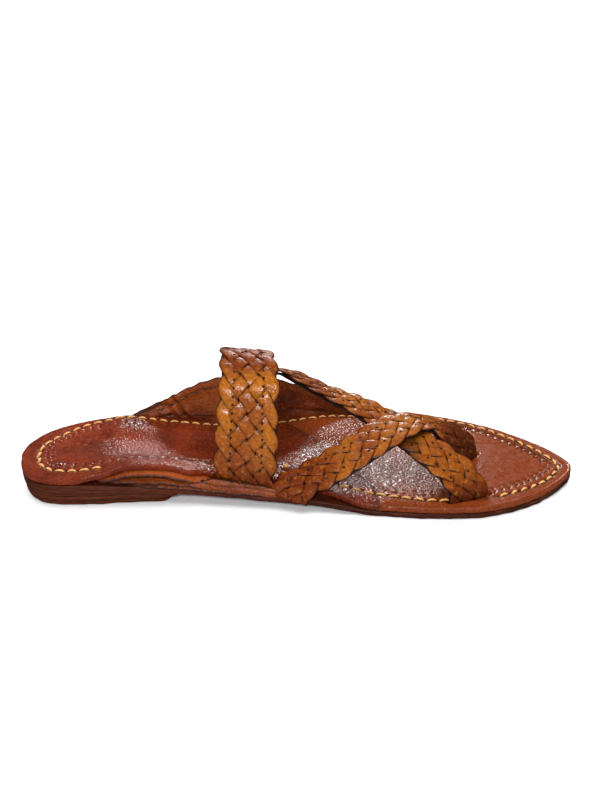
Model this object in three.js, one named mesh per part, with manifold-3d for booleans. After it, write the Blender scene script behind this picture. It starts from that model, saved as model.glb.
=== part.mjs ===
// A flat leather sandal for the left foot: a stacked sole with a pointed toe, two side
// ears caught between its layers, and a braided upper whose instep band and two crossing
// straps are one piece. The second strap ends as a loop round the big toe.
//
// Millimetres. +X points to the toe, +Y to the outer (lateral) side of the foot, +Z up.
// The origin is on the floor, in the middle of the sandal's length and width.

import * as THREE from 'three';
import { mergeVertices } from 'three/addons/utils/BufferGeometryUtils.js';
import Module from 'manifold-3d';

const wasm = await Module();
wasm.setup();

// ---------------------------------------------------------------- driving sizes

const LENGTH = 285;
const OUTSOLE = 2.8;
const FOOTBED = 3.4;
const GAP = 0.3; // between pieces that touch
const EDGE_BEVEL = 0.7;
const STRAP_WALL = 3.2;
const STRAP_CORNER = 1.0;
const EAR_WALL = 2.3;
const EAR_TAB = 2.2; // the part of an ear that lies between the sole's layers
const EAR_CLEARANCE = 0.5; // between an ear and the curved underside of the footbed
const LIFT_TAPER = 1.8; // the heel is this much smaller at the floor, all round
const LOWER_LIFT_END = -59;
const UPPER_LIFT_END = -54;
const SLIT_CLEARANCE = 0.35;

// The sole's outline. along runs from 0 at the back of the heel to 1 at the tip of the
// toe, and x = -LENGTH/2 * cos(pi * along), which rounds both ends.
const OUTLINE = [
  { along: 0.0, medial: -9.5, lateral: -9.5 },
  { along: 0.05, medial: -20.2, lateral: -1.0 },
  { along: 0.1, medial: -31.2, lateral: 8.4 },
  { along: 0.15, medial: -38.0, lateral: 16.4 },
  { along: 0.2, medial: -40.6, lateral: 22.4 },
  { along: 0.25, medial: -40.4, lateral: 26.4 },
  { along: 0.3, medial: -38.8, lateral: 28.6 },
  { along: 0.35, medial: -37.8, lateral: 29.0 },
  { along: 0.4, medial: -38.3, lateral: 29.0 },
  { along: 0.45, medial: -40.5, lateral: 30.9 },
  { along: 0.5, medial: -43.8, lateral: 35.6 },
  { along: 0.55, medial: -46.7, lateral: 42.4 },
  { along: 0.6, medial: -49.1, lateral: 48.6 },
  { along: 0.65, medial: -50.8, lateral: 50.4 },
  { along: 0.7, medial: -50.4, lateral: 44.6 },
  { along: 0.75, medial: -46.4, lateral: 37.0 },
  { along: 0.8, medial: -39.8, lateral: 27.6 },
  { along: 0.85, medial: -31.8, lateral: 16.4 },
  { along: 0.9, medial: -24.2, lateral: 5.0 },
  { along: 0.95, medial: -18.0, lateral: -5.4 },
  { along: 1.0, medial: -12.5, lateral: -12.5 },
];

// The outsole's underside: high on the heel, low through the waist, flat at the forefoot.
const UNDERSIDE = [
  { x: -143, z: 9.3 },
  { x: -106, z: 9.3 },
  { x: -82, z: 7.3 },
  { x: -50, z: 5.1 },
  { x: -20, z: 3.8 },
  { x: 10, z: 3.3 },
  { x: 40, z: 0 },
  { x: 118, z: 0 },
  { x: 143, z: 1.2 },
];

// The seam between the two heel lifts, which thin out towards the waist.
const LIFT_SEAM = [
  { x: -143, z: 5.4 },
  { x: -88, z: 5.4 },
  { x: -54, z: 3.3 },
];

// How the footbed's edge is drawn in where the ears and strap ends stand outside it, and
// how far it is lifted there. tab is the share of the ear's tab under each edge, and
// hump is the extra lift over the folded medial ear.
const FOOTBED_EDGE = [
  { x: -108, medialInset: 0, lateralInset: 0, medialTab: 0, lateralTab: 0, hump: 0 },
  { x: -96, medialInset: 0.4, lateralInset: 2.6, medialTab: 0.7, lateralTab: 1, hump: 1.5 },
  { x: -80, medialInset: 1.2, lateralInset: 3.2, medialTab: 1, lateralTab: 1, hump: 6.2 },
  { x: -66, medialInset: 1.6, lateralInset: 3.2, medialTab: 1, lateralTab: 1, hump: 6.6 },
  { x: -53, medialInset: 2.6, lateralInset: 3.6, medialTab: 1, lateralTab: 1, hump: 3.8 },
  { x: -45, medialInset: 6.4, lateralInset: 6.8, medialTab: 1, lateralTab: 1, hump: 1.6 },
  { x: -25, medialInset: 6.6, lateralInset: 6.8, medialTab: 1, lateralTab: 1, hump: 0.3 },
  { x: -9, medialInset: 7.7, lateralInset: 6.6, medialTab: 0.9, lateralTab: 1, hump: 0 },
  { x: 4, medialInset: 7.0, lateralInset: 3.6, medialTab: 0.25, lateralTab: 1, hump: 0 },
  { x: 16, medialInset: 5.0, lateralInset: 3.2, medialTab: 0, lateralTab: 1, hump: 0 },
  { x: 30, medialInset: 0.6, lateralInset: 2.8, medialTab: 0, lateralTab: 0.8, hump: 0 },
  { x: 42, medialInset: 0, lateralInset: 0, medialTab: 0, lateralTab: 0, hump: 0 },
];

// The standing edge of each ear: its height over the floor, how far its rim leans in, and
// how far its tab reaches in under the footbed.
const LATERAL_EAR = [
  { x: -97, rim: 15.6, lean: 0.0, reach: 9 },
  { x: -84, rim: 21.6, lean: 0.3, reach: 14 },
  { x: -72, rim: 28.0, lean: 0.6, reach: 15 },
  { x: -60, rim: 34.4, lean: 1.0, reach: 15 },
  { x: -46, rim: 39.6, lean: 1.4, reach: 15 },
  { x: -32, rim: 41.2, lean: 1.6, reach: 15 },
  { x: -18, rim: 39.2, lean: 1.6, reach: 15 },
  { x: -4, rim: 34.0, lean: 1.6, reach: 15 },
  { x: 10, rim: 26.0, lean: 1.2, reach: 13 },
  { x: 22, rim: 17.2, lean: 0.6, reach: 9 },
  { x: 33, rim: 9.6, lean: 0.0, reach: 4.5 },
];
const MEDIAL_EAR = [
  { x: -98, rim: 12.6, lean: 0.3, reach: 10 },
  { x: -86, rim: 15.2, lean: 0.1, reach: 14 },
  { x: -74, rim: 18.0, lean: 0.0, reach: 15 },
  { x: -62, rim: 18.0, lean: 0.0, reach: 15 },
  { x: -50, rim: 15.6, lean: 0.2, reach: 15 },
  { x: -40, rim: 14.8, lean: 0.2, reach: 15 },
  { x: -25, rim: 13.0, lean: 0.1, reach: 14 },
  { x: -14, rim: 11.6, lean: 0.0, reach: 12 },
  { x: -5, rim: 9.8, lean: 0.0, reach: 10 },
];

// The straps' middle surfaces, a row for each section with the two edges of the strap.
// The instep band goes from the medial slot over the foot to the lateral slot.
const BAND = [
  { rear: [-41.0, -34.5, 10.7], front: [-11.5, -38.1, 9.6] },
  { rear: [-40.8, -34.8, 17.5], front: [-11.3, -38.0, 14.5] },
  { rear: [-39.8, -34.5, 28.5], front: [-9.8, -37.3, 25.0] },
  { rear: [-38.8, -33.0, 41.5], front: [-9.4, -35.3, 38.0] },
  { rear: [-37.5, -30.0, 53.0], front: [-9.6, -31.8, 50.5] },
  { rear: [-37.0, -26.5, 60.0], front: [-9.0, -27.5, 59.0] },
  { rear: [-37.2, -20.0, 64.8], front: [-9.5, -20.5, 63.5] },
  { rear: [-38.0, -9.0, 68.0], front: [-11.5, -9.0, 66.0] },
  { rear: [-39.0, 1.0, 66.5], front: [-13.5, 1.0, 64.5] },
  { rear: [-40.0, 10.0, 60.5], front: [-14.0, 10.5, 58.5] },
  { rear: [-40.8, 17.5, 51.5], front: [-14.2, 19.0, 49.5] },
  { rear: [-41.2, 21.8, 40.0], front: [-14.0, 24.6, 38.0] },
  { rear: [-41.2, 24.0, 26.0], front: [-13.8, 27.2, 25.0] },
  { rear: [-41.0, 24.4, 11.2], front: [-13.8, 27.8, 10.2] },
];

// The upper strap goes from the medial slot over the crossing and down between the toes.
const UPPER_STRAP = [
  { rear: [-13.5, -37.4, 11.0], front: [4.0, -41.6, 7.4] },
  { rear: [-9.0, -35.2, 14.4], front: [8.5, -43.2, 9.6] },
  { rear: [0.0, -31.8, 17.3], front: [15.0, -43.2, 12.8] },
  { rear: [9.0, -28.3, 21.2], front: [22.5, -41.3, 17.0] },
  { rear: [18.0, -24.3, 24.7], front: [31.0, -38.2, 21.3] },
  { rear: [27.0, -19.3, 28.2], front: [39.5, -33.8, 25.0] },
  { rear: [36.5, -13.2, 31.2], front: [48.0, -29.0, 28.2] },
  { rear: [46.5, -7.5, 32.8], front: [57.0, -23.5, 30.6] },
  { rear: [57.5, -2.0, 31.5], front: [64.0, -18.8, 31.0] },
  { rear: [67.0, 1.2, 28.5], front: [68.6, -16.2, 29.0] },
  { rear: [76.5, 1.5, 25.5], front: [71.2, -15.4, 24.8] },
  { rear: [84.5, 1.0, 22.5], front: [73.8, -15.0, 19.5] },
  { rear: [91.0, 1.0, 17.8], front: [77.5, -14.5, 13.8] },
  { rear: [95.0, 1.5, 11.8], front: [81.3, -13.5, 9.2] },
  { rear: [95.8, 1.8, 6.5], front: [82.8, -13.0, 6.3] },
  { rear: [95.8, 1.8, 3.6], front: [82.8, -13.0, 3.6] },
];

// The lower strap leaves the band on the lateral side, passes under the upper strap and
// goes down at the medial edge as the near side of the toe loop.
const LOWER_STRAP = [
  { rear: [-33.0, 16.5, 48.5], front: [-23.0, 22.3, 37.0] },
  { rear: [-21.0, 12.0, 53.0], front: [-15.5, 21.3, 43.0] },
  { rear: [-12.0, 6.5, 53.0], front: [-8.8, 20.0, 46.3] },
  { rear: [-4.0, 3.3, 49.8], front: [-1.4, 18.8, 46.3] },
  { rear: [2.0, 1.2, 46.6], front: [6.8, 16.5, 43.8] },
  { rear: [9.5, -1.5, 43.2], front: [15.5, 13.8, 40.5] },
  { rear: [18.5, -5.0, 39.3], front: [26.3, 10.5, 37.9] },
  { rear: [27.5, -8.5, 35.3], front: [34.0, 8.0, 36.3] },
  { rear: [34.5, -11.5, 31.8], front: [41.5, 5.3, 34.0] },
  { rear: [41.5, -15.0, 29.3], front: [49.0, 2.5, 31.0] },
  { rear: [46.5, -20.5, 27.3], front: [56.0, -3.0, 29.0] },
  { rear: [51.0, -26.3, 25.2], front: [62.0, -11.5, 28.0] },
  { rear: [55.8, -31.0, 22.8], front: [67.2, -19.0, 27.6] },
  { rear: [61.2, -34.6, 19.6], front: [72.8, -23.3, 25.9] },
  { rear: [66.2, -38.2, 16.7], front: [79.3, -27.3, 22.5] },
  { rear: [70.0, -41.0, 13.3], front: [85.8, -30.8, 18.0] },
  { rear: [72.5, -43.0, 9.8], front: [90.2, -34.3, 12.6] },
  { rear: [73.5, -44.0, 6.6], front: [92.6, -37.0, 6.8] },
  { rear: [73.5, -44.2, 3.6], front: [92.6, -37.2, 3.6] },
];

// ---------------------------------------------------------------- curves through tables

const { lerp, smoothstep } = THREE.MathUtils;

// A smooth curve through one column of a table. Its slope at a row is the mean of the
// slopes on both sides, and nought where they disagree, so a flat stretch stays flat.
function column(rows, key, value) {
  const slope = (i) => (rows[i + 1][value] - rows[i][value]) / (rows[i + 1][key] - rows[i][key]);
  const slopes = rows.map((row, i) => {
    if (i === 0) return slope(0);
    if (i === rows.length - 1) return slope(i - 1);
    const before = slope(i - 1);
    const after = slope(i);
    if (before * after <= 0) return 0;
    const limit = 3 * Math.min(Math.abs(before), Math.abs(after));
    return Math.sign(before) * Math.min(Math.abs(before + after) / 2, limit);
  });
  return (at) => {
    const last = rows.length - 2;
    let i = 0;
    while (i < last && at > rows[i + 1][key]) i += 1;
    const span = rows[i + 1][key] - rows[i][key];
    const t = Math.min(Math.max((at - rows[i][key]) / span, 0), 1);
    const [t2, t3] = [t * t, t * t * t];
    return (
      (2 * t3 - 3 * t2 + 1) * rows[i][value] +
      (t3 - 2 * t2 + t) * span * slopes[i] +
      (3 * t2 - 2 * t3) * rows[i + 1][value] +
      (t3 - t2) * span * slopes[i + 1]
    );
  };
}

const medialEdge = column(OUTLINE, 'along', 'medial');
const lateralEdge = column(OUTLINE, 'along', 'lateral');
const underside = column(UNDERSIDE, 'x', 'z');
const liftSeam = column(LIFT_SEAM, 'x', 'z');
const medialInset = column(FOOTBED_EDGE, 'x', 'medialInset');
const lateralInset = column(FOOTBED_EDGE, 'x', 'lateralInset');
const medialTab = column(FOOTBED_EDGE, 'x', 'medialTab');
const lateralTab = column(FOOTBED_EDGE, 'x', 'lateralTab');
const hump = column(FOOTBED_EDGE, 'x', 'hump');

const xAt = (along) => (-LENGTH / 2) * Math.cos(Math.PI * along);
const alongAt = (x) => Math.acos(Math.min(Math.max((-2 * x) / LENGTH, -1), 1)) / Math.PI;
const outsoleTop = (x) => underside(x) + OUTSOLE;

// Where a point lies between the two edges: -1 on the medial edge, 1 on the lateral one.
function acrossAt(x, y) {
  const along = alongAt(x);
  const medial = medialEdge(along);
  const lateral = lateralEdge(along);
  const half = Math.max((lateral - medial) / 2, 1);
  return (y - (medial + lateral) / 2) / half;
}

// The footbed's underside: on the outsole, and lifted over the ears' tabs at its edges.
function footbedBottom(x, y) {
  const across = acrossAt(x, y);
  const lateral = lateralTab(x) * smoothstep(across, 0.15, 0.48);
  const medial = medialTab(x) * smoothstep(-across, 0.15, 0.48);
  const folded = hump(x) * smoothstep(-across, 0.25, 1.0);
  return outsoleTop(x) + GAP + (EAR_TAB + GAP) * (lateral + medial) + folded;
}

// ---------------------------------------------------------------- solids

function geometryOf(points, triangles) {
  const geometry = new THREE.BufferGeometry();
  geometry.setAttribute('position', new THREE.Float32BufferAttribute(points.flat(), 3));
  geometry.setIndex(triangles.flat());
  return geometry;
}

// A layer of the sole between two height functions. Stations run along the sole from the
// heel; the first is one point, and the last is one point too if the layer reaches the
// tip, or else a blunt end. edge gives both edges at a station, and bevel eases the rim.
function soleLayer({ end = 1, stations, columns, edge, top, bottom, bevel, flare = 0 }) {
  const blunt = end < 1;
  const sides = [];
  for (let i = 0; i <= stations; i += 1) {
    const along = (end * i) / stations;
    sides.push({ x: xAt(along), ...edge(along) });
  }
  const loop = [[sides[0].x, sides[0].medial]];
  for (let i = 1; i < stations; i += 1) loop.push([sides[i].x, sides[i].lateral]);
  const tip = sides[stations];
  const endColumns = blunt ? columns : 0;
  for (let j = endColumns; j >= 0; j -= 1) {
    const share = blunt ? j / columns : 0;
    const bow = blunt ? 3 * Math.sin(Math.PI * share) : 0;
    loop.push([tip.x + bow, lerp(tip.medial, tip.lateral, share)]);
  }
  for (let i = stations - 1; i > 0; i -= 1) loop.push([sides[i].x, sides[i].medial]);

  const inset = (distance) =>
    loop.map((point, i) => {
      const before = loop[(i + loop.length - 1) % loop.length];
      const after = loop[(i + 1) % loop.length];
      const [dx, dy] = [after[0] - before[0], after[1] - before[1]];
      const size = Math.hypot(dx, dy);
      return [point[0] + (dy / size) * distance, point[1] - (dx / size) * distance];
    });

  const points = [];
  const ring = (distance, height) => {
    const first = points.length;
    for (const [x, y] of inset(distance)) points.push([x, y, height(x, y)]);
    return first;
  };
  const rings = [
    ring(bevel, top),
    ring(0, (x, y) => top(x, y) - bevel),
    ring(flare, (x, y) => bottom(x, y) + bevel),
    ring(flare + bevel, bottom),
  ];
  const count = loop.length;
  const triangles = [];
  for (let level = 0; level < rings.length - 1; level += 1) {
    for (let i = 0; i < count; i += 1) {
      const next = (i + 1) % count;
      const [a, b] = [rings[level] + i, rings[level] + next];
      const [c, d] = [rings[level + 1] + i, rings[level + 1] + next];
      triangles.push([a, b, d], [a, d, c]);
    }
  }

  const cover = (first, height, up) => {
    const rows = [];
    for (let i = 0; i <= stations; i += 1) {
      if (i === 0) {
        rows.push(Array(columns + 1).fill(first));
      } else if (i === stations) {
        rows.push(
          Array.from({ length: columns + 1 }, (_, j) => first + stations + endColumns - (blunt ? j : 0)),
        );
      } else {
        const medial = first + count - i;
        const lateral = first + i;
        const row = [medial];
        for (let j = 1; j < columns; j += 1) {
          const x = lerp(points[medial][0], points[lateral][0], j / columns);
          const y = lerp(points[medial][1], points[lateral][1], j / columns);
          row.push(points.push([x, y, height(x, y)]) - 1);
        }
        rows.push([...row, lateral]);
      }
    }
    for (let i = 0; i < stations; i += 1) {
      for (let j = 0; j < columns; j += 1) {
        const [a, b] = [rows[i][j], rows[i + 1][j]];
        const [c, d] = [rows[i + 1][j + 1], rows[i][j + 1]];
        for (const [p, q, r] of [[a, b, c], [a, c, d]]) {
          if (p === q || q === r || r === p) continue;
          triangles.push(up ? [p, q, r] : [p, r, q]);
        }
      }
    }
  };
  cover(rings[0], top, true);
  cover(rings[3], bottom, false);
  return geometryOf(points, triangles);
}

// A solid through a row of closed sections with the same number of points, counter-
// clockwise as seen from the far end, with flat ends.
function loft(sections, outline) {
  const points = sections.flat();
  const count = outline.length;
  const triangles = [];
  for (let i = 0; i < sections.length - 1; i += 1) {
    for (let j = 0; j < count; j += 1) {
      const next = (j + 1) % count;
      const [a, b] = [i * count + j, i * count + next];
      triangles.push([a, b, b + count], [a, b + count, a + count]);
    }
  }
  const last = (sections.length - 1) * count;
  const caps = THREE.ShapeUtils.triangulateShape(outline.map(([x, y]) => new THREE.Vector2(x, y)), []);
  for (const [p, q, r] of caps) triangles.push([p, r, q], [last + p, last + q, last + r]);
  return geometryOf(points, triangles);
}

// A strap of even wall through its table of edges, with eased corners. grow makes a
// larger copy, to cut clearance with.
function strap(rows, steps, grow = 0) {
  const rear = new THREE.CatmullRomCurve3(rows.map((row) => new THREE.Vector3(...row.rear)));
  const front = new THREE.CatmullRomCurve3(rows.map((row) => new THREE.Vector3(...row.front)));
  const middle = (t) => rear.getPoint(t).add(front.getPoint(t)).multiplyScalar(0.5);
  const half = STRAP_WALL / 2 + grow;
  const step = 0.5 / steps;
  const sections = [];
  let outline = [];
  for (let i = 0; i <= steps; i += 1) {
    const t = i / steps;
    const across = front.getPoint(t).sub(rear.getPoint(t));
    const reach = across.length() / 2 + grow;
    across.normalize();
    const ahead = middle(Math.min(t + step, 1)).sub(middle(Math.max(t - step, 0))).normalize();
    const outward = ahead.clone().cross(across).normalize();
    const centre = middle(t);
    if (grow > 0 && i === steps) centre.addScaledVector(ahead, 4 * grow);
    outline = [
      [-reach, half - STRAP_CORNER],
      [-reach, STRAP_CORNER - half],
      [STRAP_CORNER - reach, -half],
      [reach - STRAP_CORNER, -half],
      [reach, STRAP_CORNER - half],
      [reach, half - STRAP_CORNER],
      [reach - STRAP_CORNER, half],
      [STRAP_CORNER - reach, half],
    ];
    sections.push(
      outline.map(([u, w]) =>
        centre.clone().addScaledVector(across, u).addScaledVector(outward, w).toArray(),
      ),
    );
  }
  return loft(sections, outline);
}

// An ear: a tab between the sole's layers and a wall that stands outside the footbed.
// section lists the outline at one station as pairs of a distance out from the sole's
// edge and a height, and may ask for the layers' heights at any such distance.
function ear(rows, side, steps, section) {
  const rim = column(rows, 'x', 'rim');
  const lean = column(rows, 'x', 'lean');
  const reach = column(rows, 'x', 'reach');
  const edge = side < 0 ? medialEdge : lateralEdge;
  const first = alongAt(rows[0].x);
  const last = alongAt(rows[rows.length - 1].x);
  const step = 0.004;
  const sections = [];
  let outline = [];
  for (let i = 0; i <= steps; i += 1) {
    const along = lerp(first, last, i / steps);
    const x = xAt(along);
    const dx = xAt(along + step) - xAt(along - step);
    const dy = edge(along + step) - edge(along - step);
    const size = Math.hypot(dx, dy);
    const out = [(-dy / size) * side, (dx / size) * side];
    const place = (n) => [x + out[0] * n, edge(along) + out[1] * n];
    const floor = (n) => outsoleTop(place(n)[0]) + GAP;
    const roof = (n) => Math.max(footbedBottom(...place(n)) - EAR_CLEARANCE, floor(n) + 0.6);
    outline = section({ x, rim: rim(x), lean: lean(x), reach: reach(x), floor, roof });
    sections.push(outline.map(([n, z]) => [...place(n), z]));
  }
  if (side > 0) return loft(sections, outline);
  const turned = sections.map((points) => [...points].reverse());
  return loft(turned, outline.map(([n, z]) => [-n, z]).reverse());
}

// ---------------------------------------------------------------- joining and cutting

function solidOf(geometry) {
  const bare = geometry.clone();
  bare.deleteAttribute('normal');
  bare.deleteAttribute('uv');
  const merged = mergeVertices(bare, 1e-4);
  return new wasm.Manifold(
    new wasm.Mesh({
      numProp: 3,
      vertProperties: Float32Array.from(merged.attributes.position.array),
      triVerts: Uint32Array.from(merged.index.array),
    }),
  );
}

function geometryFrom(solid) {
  const mesh = solid.getMesh();
  const geometry = new THREE.BufferGeometry();
  geometry.setAttribute('position', new THREE.BufferAttribute(mesh.vertProperties, 3));
  geometry.setIndex(new THREE.BufferAttribute(mesh.triVerts, 1));
  return geometry;
}

// ---------------------------------------------------------------- the pieces

function outsole() {
  return soleLayer({
    stations: 56,
    columns: 6,
    edge: (along) => ({ medial: medialEdge(along), lateral: lateralEdge(along) }),
    top: outsoleTop,
    bottom: underside,
    bevel: EDGE_BEVEL,
  });
}

// Both lifts share the heel's outline, and each starts where the one above it stops.
function heelLift(endX, taperAbove, taper, top, bottom) {
  const shrink = (along) => Math.min(taperAbove, 40 * along);
  return soleLayer({
    end: alongAt(endX),
    stations: 18,
    columns: 6,
    edge: (along) => ({
      medial: medialEdge(along) + shrink(along),
      lateral: lateralEdge(along) - shrink(along),
    }),
    top,
    bottom,
    bevel: 0.5,
    flare: taper,
  });
}

const upperLift = () =>
  heelLift(UPPER_LIFT_END, 0.4, 0.4, (x) => underside(x) - GAP, (x) => liftSeam(x) + GAP);
const lowerLift = () => heelLift(LOWER_LIFT_END, 0.9, LIFT_TAPER - 0.9, liftSeam, () => 0);

function footbed() {
  const slab = soleLayer({
    stations: 64,
    columns: 14,
    edge: (along) => ({
      medial: medialEdge(along) + medialInset(xAt(along)),
      lateral: lateralEdge(along) - lateralInset(xAt(along)),
    }),
    top: (x, y) => footbedBottom(x, y) + FOOTBED,
    bottom: footbedBottom,
    bevel: EDGE_BEVEL,
  });
  const legRows = 4;
  let solid = solidOf(slab);
  for (const rows of [UPPER_STRAP, LOWER_STRAP]) {
    solid = solid.subtract(solidOf(strap(rows.slice(-legRows), 9, SLIT_CLEARANCE)));
  }
  return geometryFrom(solid);
}

// The lateral ear is a tall wing, with its tab under the footbed's edge.
function lateralEar() {
  return ear(LATERAL_EAR, 1, 34, ({ rim, lean, reach, floor, roof }) => {
    const foot = floor(0);
    const top = Math.max(rim, roof(-EAR_WALL) + 1.5);
    const middle = lerp(foot, top, 0.5);
    return [
      [-reach, floor(-reach)],
      [-0.6, floor(-0.6)],
      [0.3, foot + 0.9],
      [0.5 - 0.3 * lean, middle],
      [0.1 - lean, top - 0.4],
      [-0.5 - lean, top],
      [0.1 - 0.8 * EAR_WALL - lean, top - 0.3],
      [0.5 - EAR_WALL - 0.3 * lean, middle],
      [0.3 - EAR_WALL, roof(-EAR_WALL) + 0.4],
      [-EAR_WALL - 0.4, roof(-EAR_WALL - 0.4)],
      [-reach, roof(-reach)],
    ];
  });
}

// The medial ear is folded flat: a wad under the footbed's edge behind the band, and a
// low wall outside the strap ends in front of it.
function medialEar() {
  return ear(MEDIAL_EAR, -1, 34, ({ x, rim, lean, reach, floor, roof }) => {
    const wall = smoothstep(x, -56, -46);
    const tabTop = (n) => lerp(roof(n), Math.min(roof(n), floor(n) + EAR_TAB), wall);
    const inner = 0.3 - EAR_WALL;
    const shoulder = tabTop(inner);
    const share = (t) => lerp(-EAR_WALL, -reach, t);
    return [
      [-reach, floor(-reach)],
      [-0.6, floor(-0.6)],
      [0.5, floor(0) + 0.9],
      [0.9, lerp(floor(0), rim, 0.55)],
      [0.4 - lean, rim - 0.5],
      [-0.4 - lean, rim],
      [inner, lerp(Math.min(rim, shoulder), rim - 0.4, wall)],
      [inner - 0.1, shoulder + 0.3 * wall],
      [share(0.3), tabTop(share(0.3))],
      [share(0.65), tabTop(share(0.65))],
      [-reach, tabTop(-reach)],
    ];
  });
}

function upper() {
  const band = solidOf(strap(BAND, 40));
  const above = solidOf(strap(UPPER_STRAP, 46));
  const below = solidOf(strap(LOWER_STRAP, 52));
  return geometryFrom(band.add(above).add(below));
}

// ---------------------------------------------------------------- the sandal

const leather = (color, roughness) =>
  new THREE.MeshStandardMaterial({ color, roughness, metalness: 0 });

const soleLeather = leather(0x5e2a12, 0.6);
const heelLeather = leather(0x4c2210, 0.62);
const footbedLeather = leather(0x7a2c14, 0.42);
const earLeather = leather(0x6a3016, 0.5);
const braidLeather = leather(0xa5691e, 0.38);

const sandal = new THREE.Group();
const add = (name, geometry, material) => {
  const mesh = new THREE.Mesh(geometry, material);
  mesh.name = name;
  sandal.add(mesh);
};

add('outsole', outsole(), soleLeather);
add('heel_lift_upper', upperLift(), heelLeather);
add('heel_lift_lower', lowerLift(), heelLeather);
add('footbed', footbed(), footbedLeather);
add('ear_lateral', lateralEar(), earLeather);
add('ear_medial', medialEar(), earLeather);
add('upper', upper(), braidLeather);

export default sandal;
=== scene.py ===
"""The looks of a left leather sandal with a braided upper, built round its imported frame.

Shapes are surfaces worked out with numpy in millimetres and stored in metres, in the frame's
own axes: +X to the toe, +Y to the outer side of the foot, +Z up, the floor at z = 0.
"""

import logging
import math
from collections.abc import Callable, Sequence
from dataclasses import dataclass, field, replace
from enum import Enum
from functools import partial

import bmesh
import bpy
import numpy as np
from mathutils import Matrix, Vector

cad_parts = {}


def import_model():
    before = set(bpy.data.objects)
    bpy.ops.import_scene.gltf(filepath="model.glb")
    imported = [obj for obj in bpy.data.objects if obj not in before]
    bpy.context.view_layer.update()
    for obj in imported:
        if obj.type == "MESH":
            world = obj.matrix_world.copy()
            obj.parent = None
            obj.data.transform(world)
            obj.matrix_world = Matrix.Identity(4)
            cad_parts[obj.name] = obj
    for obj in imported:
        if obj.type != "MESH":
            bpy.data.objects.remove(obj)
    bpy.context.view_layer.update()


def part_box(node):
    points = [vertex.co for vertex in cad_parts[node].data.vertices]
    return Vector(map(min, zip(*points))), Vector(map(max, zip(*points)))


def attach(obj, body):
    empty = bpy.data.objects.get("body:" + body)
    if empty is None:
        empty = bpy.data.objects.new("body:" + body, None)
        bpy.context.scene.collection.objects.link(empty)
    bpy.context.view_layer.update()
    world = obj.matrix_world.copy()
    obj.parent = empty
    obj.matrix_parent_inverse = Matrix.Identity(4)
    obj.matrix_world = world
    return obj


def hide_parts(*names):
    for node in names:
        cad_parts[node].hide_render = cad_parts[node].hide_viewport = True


Array = np.ndarray
Colour = tuple[float, float, float]
Place = tuple[float, float, float]

LOG = logging.getLogger("sandal")
MM = 0.001
BODY = "root"
BRAID_SLOT = "braid_leather"

EDGE_BULGE = 0.3  # how far a cut edge stands out, as a share of the thickness
BROAD_MOTTLE = 19.0  # mm
FINE_MOTTLE = 2.4  # mm
CREASE_CELL = 4.5  # the cells between creases, in cells of the grain
# near black: mostly painted shade in hollows, creases and under laces, and a dark seam line
PAINTED_SHADE_AND_SEAM = (24, 10, 5)
LACE_STEP = 0.8  # mm of strap from ring to ring of a lace
LACE_SIDES = 16
LINING_SHARE = 0.93  # the lining's width as a share of the plait's
BEAD_RADIUS = 0.62  # mm
LEAF_REACH = 9.0  # how far the folded ear's leaves go in under the footbed, in mm


# ------------------------------------------------------------------ curves and noise


def smoothstep(value: Array, low: float, high: float) -> Array:
    """Return 0 below low and 1 above high, with an S-shaped rise 3t^2 - 2t^3 between them."""
    share = np.clip((np.asarray(value, float) - low) / (high - low), 0.0, 1.0)
    return share * share * (3.0 - 2.0 * share)


def mix(first: Array, second: Array, share: Array) -> Array:
    """Return first where share is 0 and second where it is 1."""
    return first + (second - first) * share


def unit(vectors: Array) -> Array:
    """Return vectors, whose coordinates come last, at length 1."""
    return vectors / np.maximum(np.linalg.norm(vectors, axis=-1, keepdims=True), 1e-9)


def arc_length(points: Array) -> Array:
    """Return how far along a row of points each of them lies."""
    steps = np.linalg.norm(np.diff(points, axis=0), axis=1)
    return np.concatenate([[0.0], np.cumsum(steps)])


def off_line(place: Array, start: Sequence[float], end: Sequence[float]) -> Array:
    """Return how far places in a plane lie from the straight stretch between two points."""
    origin, ahead = np.array(start), np.subtract(end, start)
    share = np.clip((place - origin) @ ahead / (ahead @ ahead), 0, 1)
    return np.linalg.norm(place - (origin + share[..., None] * ahead), axis=-1)


def hermite(t: Array, start: Array, leave: Array, end: Array, arrive: Array) -> Array:
    """Return the cubic from start to end as t goes from 0 to 1, with its slopes at both ends."""
    return (
        (2 * t**3 - 3 * t**2 + 1) * start
        + (t**3 - 2 * t**2 + t) * leave
        + (3 * t**2 - 2 * t**3) * end
        + (t**3 - t**2) * arrive
    )


def groove(distance: Array, width: float) -> Array:
    """Return a bell e^-(d/width)^2 that is 1 on a line and fades out over about its width."""
    return np.exp(-((np.asarray(distance, float) / width) ** 2))


def ripple(points: Array, wavelength: float, seed: int, waves: int = 22) -> Array:
    """Return soft noise of about -1 to 1: a sum of plane cosine waves in random directions.

    Args:
        points: places of any shape with the coordinates last, in mm.
        wavelength: the middle length of the waves, in mm.
        seed: the seed of the directions and phases.
        waves: how many waves are added.
    """
    random = np.random.default_rng(seed)
    directions = unit(random.normal(size=(waves, points.shape[-1])))
    lengths = wavelength * random.uniform(0.6, 1.7, waves)
    phases = random.uniform(0.0, math.tau, waves)
    angles = points @ (directions * (math.tau / lengths)[:, None]).T + phases
    return np.cos(angles).sum(axis=-1) * 0.5 / math.sqrt(waves / 2)


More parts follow.
